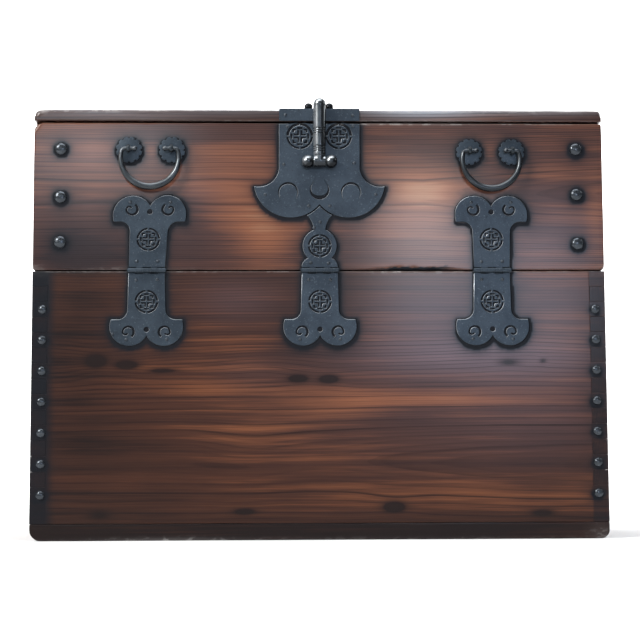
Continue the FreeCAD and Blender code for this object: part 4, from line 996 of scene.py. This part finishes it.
def headCentres(node, look):
    # Middles of a node's nail heads: its points before the front face, split where their heights jump.
    points = vertices(node)
    heads = points[points[:, 1] < frontFace - 0.0005]
    heads = heads[np.argsort(heads[:, 2])]
    groups = np.split(heads, np.where(np.diff(heads[:, 2]) > look["radius"] / 2)[0] + 1)
    middles = [(group.min(0) + group.max(0)) / 2 for group in groups]
    return [(middle[0], frontFace + look["seat"], middle[2]) for middle in middles]


for node in nodes:
    if "_nails_" in node:
        look = nailLook[node.rsplit("_", 1)[0]]
        nails = nailPiece(f"{node}_domes", headCentres(node, look), look, bodyOf[node])
        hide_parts(node)

# Places of the tacks in millimetres: X from the plate's middle and Z from the hinge line
tackPlaces = {
    "hinge_left_lower_leaf": [(-16.5, -15), (16.5, -14.5), (-31.5, -108.4), (31.5, -108.4), (-53, -100)],
    "hinge_left_upper_leaf": [(-16.0, 14.5), (17.0, 15), (-26.3, 108.4), (36.7, 108.4)],
    "hinge_centre_lower_leaf": [(-17.5, -14.5), (16.5, -15), (-31.5, -108.4), (31.5, -108.4)],
    "hinge_centre_upper_leaf": [(-14.1, 12.2), (13.6, 11.6), (0.6, 77), (-9.0, 67.8)],
    "hinge_right_lower_leaf": [(-16.5, -14.5), (16.5, -14.5), (-31.5, -108.4), (31.5, -108.4)],
    "hinge_right_upper_leaf": [(-16.5, 14), (16.5, 14.5), (-31.5, 108.4), (31.5, 108.4)],
    "lock_plate": [
        (-50.6, 229.8), (53.3, 230.7), (-56.7, 169), (54.7, 171.5), (-86, 120.9), (88.7, 120.9),
        (-17.2, 102.7), (16.2, 102.7)],
    "top_strap": [(-54, 249), (53, 248)],
}
for node, places in tackPlaces.items():
    carrier = "_".join(node.split("_")[:2]) + "_pin" if node.startswith("hinge") else node
    middle = sum(corner[0] for corner in corners(carrier)) / 2
    face = corners(node)[0][1] if node == "top_strap" else plateFace
    level = face + nailLook["tack"]["seat"]
    centres = [(middle + x / 1000, level, hingeLine + z / 1000) for x, z in places]
    nailPiece(f"{node}_tacks", centres, nailLook["tack"], bodyOf[node])
print("nails ready")


# Stage, light and camera

shot = {
    "eye": (-0.0733, -2.654, 0.1044), "yaw": 0.0299, "pitch": 0.0968, "roll": -0.0042, "focalPixels": 1566.4,
    "framePixels": 640,
}
stage = {"back": 6.5, "radius": 1.6, "wide": 10.0, "tall": 6.0, "front": -4.0, "turns": 16, "columns": 9}


def stageSweep():
    # Floor and backdrop as one sheet: flat, then a quarter round, then upright, extruded along X.
    back, radius, columns = stage["back"], stage["radius"], stage["columns"]
    turn = np.linspace(0, math.pi / 2, stage["turns"])
    curve = np.stack([back - radius + radius * np.sin(turn), radius - radius * np.cos(turn)], 1)
    line = np.concatenate([[(stage["front"], 0.0)], curve, [(back, stage["tall"])]])
    xs = np.linspace(-stage["wide"], stage["wide"], columns)
    depths, heights = (np.repeat(line[:, axis], columns) for axis in (0, 1))
    return np.stack([np.tile(xs, len(line)), depths, heights], 1), gridFaces(len(line), columns)


def stageMaterial():
    shader = Shader("pale_floor")
    tone = shader.noise(shader.coordinates()[0], scale=1.3)
    colour = shader.mix(tone, (0.86, 0.86, 0.86, 1.0), (0.90, 0.90, 0.90, 1.0))
    return shader.finish({"Base Color": colour, "Roughness": 0.9, "Specular IOR Level": 0.0})


floor = newObject("floor_sweep", newMesh("floor_sweep", *stageSweep(), stageMaterial()))


def areaLight(name, place, target, size, power, colour):
    data = bpy.data.lights.new(name, "AREA")
    data.shape = "RECTANGLE"
    data.size, data.size_y = size
    data.energy = power
    data.color = colour
    lamp = newObject(name, data)
    lamp.rotation_euler = (Vector(target) - Vector(place)).to_track_quat("-Z", "Y").to_euler()
    lamp.location = place
    lamp.visible_camera = False


areaLight("key_window", (-2.0, -1.8, 2.0), (0, -0.2, 0.4), (0.8, 1.0), 84, (1.0, 0.97, 0.93))
areaLight("overhead", (0.0, -0.7, 2.5), (0, -0.1, 0.3), (2.2, 0.9), 34, (0.96, 0.98, 1.0))
areaLight("pane_centre", (0.40, -2.66, 0.90), (0.159, -0.21, 0.52), (0.24, 0.28), 3.4, (1.0, 0.93, 0.93))
areaLight("pane_right", (0.60, -2.70, 0.68), (0.27, -0.21, 0.40), (0.66, 0.42), 6.5, (0.60, 0.76, 1.0))
areaLight("pane_left", (-0.62, -2.66, 1.12), (-0.365, -0.21, 0.61), (0.50, 0.26), 4.2, (0.74, 0.88, 1.0))
areaLight("floor_right", (1.7, 0.15, 1.3), (0.75, -0.1, 0.0), (0.8, 0.8), 14, (1, 1, 1))
areaLight("backdrop_left", (-3.0, 2.2, 3.6), (-1.6, 6.5, 1.2), (2.4, 2.0), 420, (1, 1, 1))
areaLight("backdrop_right", (3.0, 2.2, 3.6), (1.6, 6.5, 1.2), (2.4, 2.0), 420, (1, 1, 1))
world = bpy.data.worlds.new("studio")
world.use_nodes = True
world.node_tree.nodes["Background"].inputs["Color"].default_value = (0.85, 0.90, 1.0, 1)
world.node_tree.nodes["Background"].inputs["Strength"].default_value = 0.18
scene = bpy.context.scene
scene.world = world
scene.view_settings.view_transform = "Standard"
scene.view_settings.look = "None"

cameraData = bpy.data.cameras.new("camera")
cameraData.sensor_width = 36.0
cameraData.sensor_fit = "HORIZONTAL"
cameraData.lens = shot["focalPixels"] / shot["framePixels"] * cameraData.sensor_width
camera = newObject("camera", cameraData)
aim = Matrix.Rotation(-shot["yaw"], 4, "Z") @ Matrix.Rotation(math.pi / 2 + shot["pitch"], 4, "X")
camera.matrix_world = Matrix.Translation(shot["eye"]) @ aim @ Matrix.Rotation(shot["roll"], 4, "Z")
scene.camera = camera
print("scene ready")
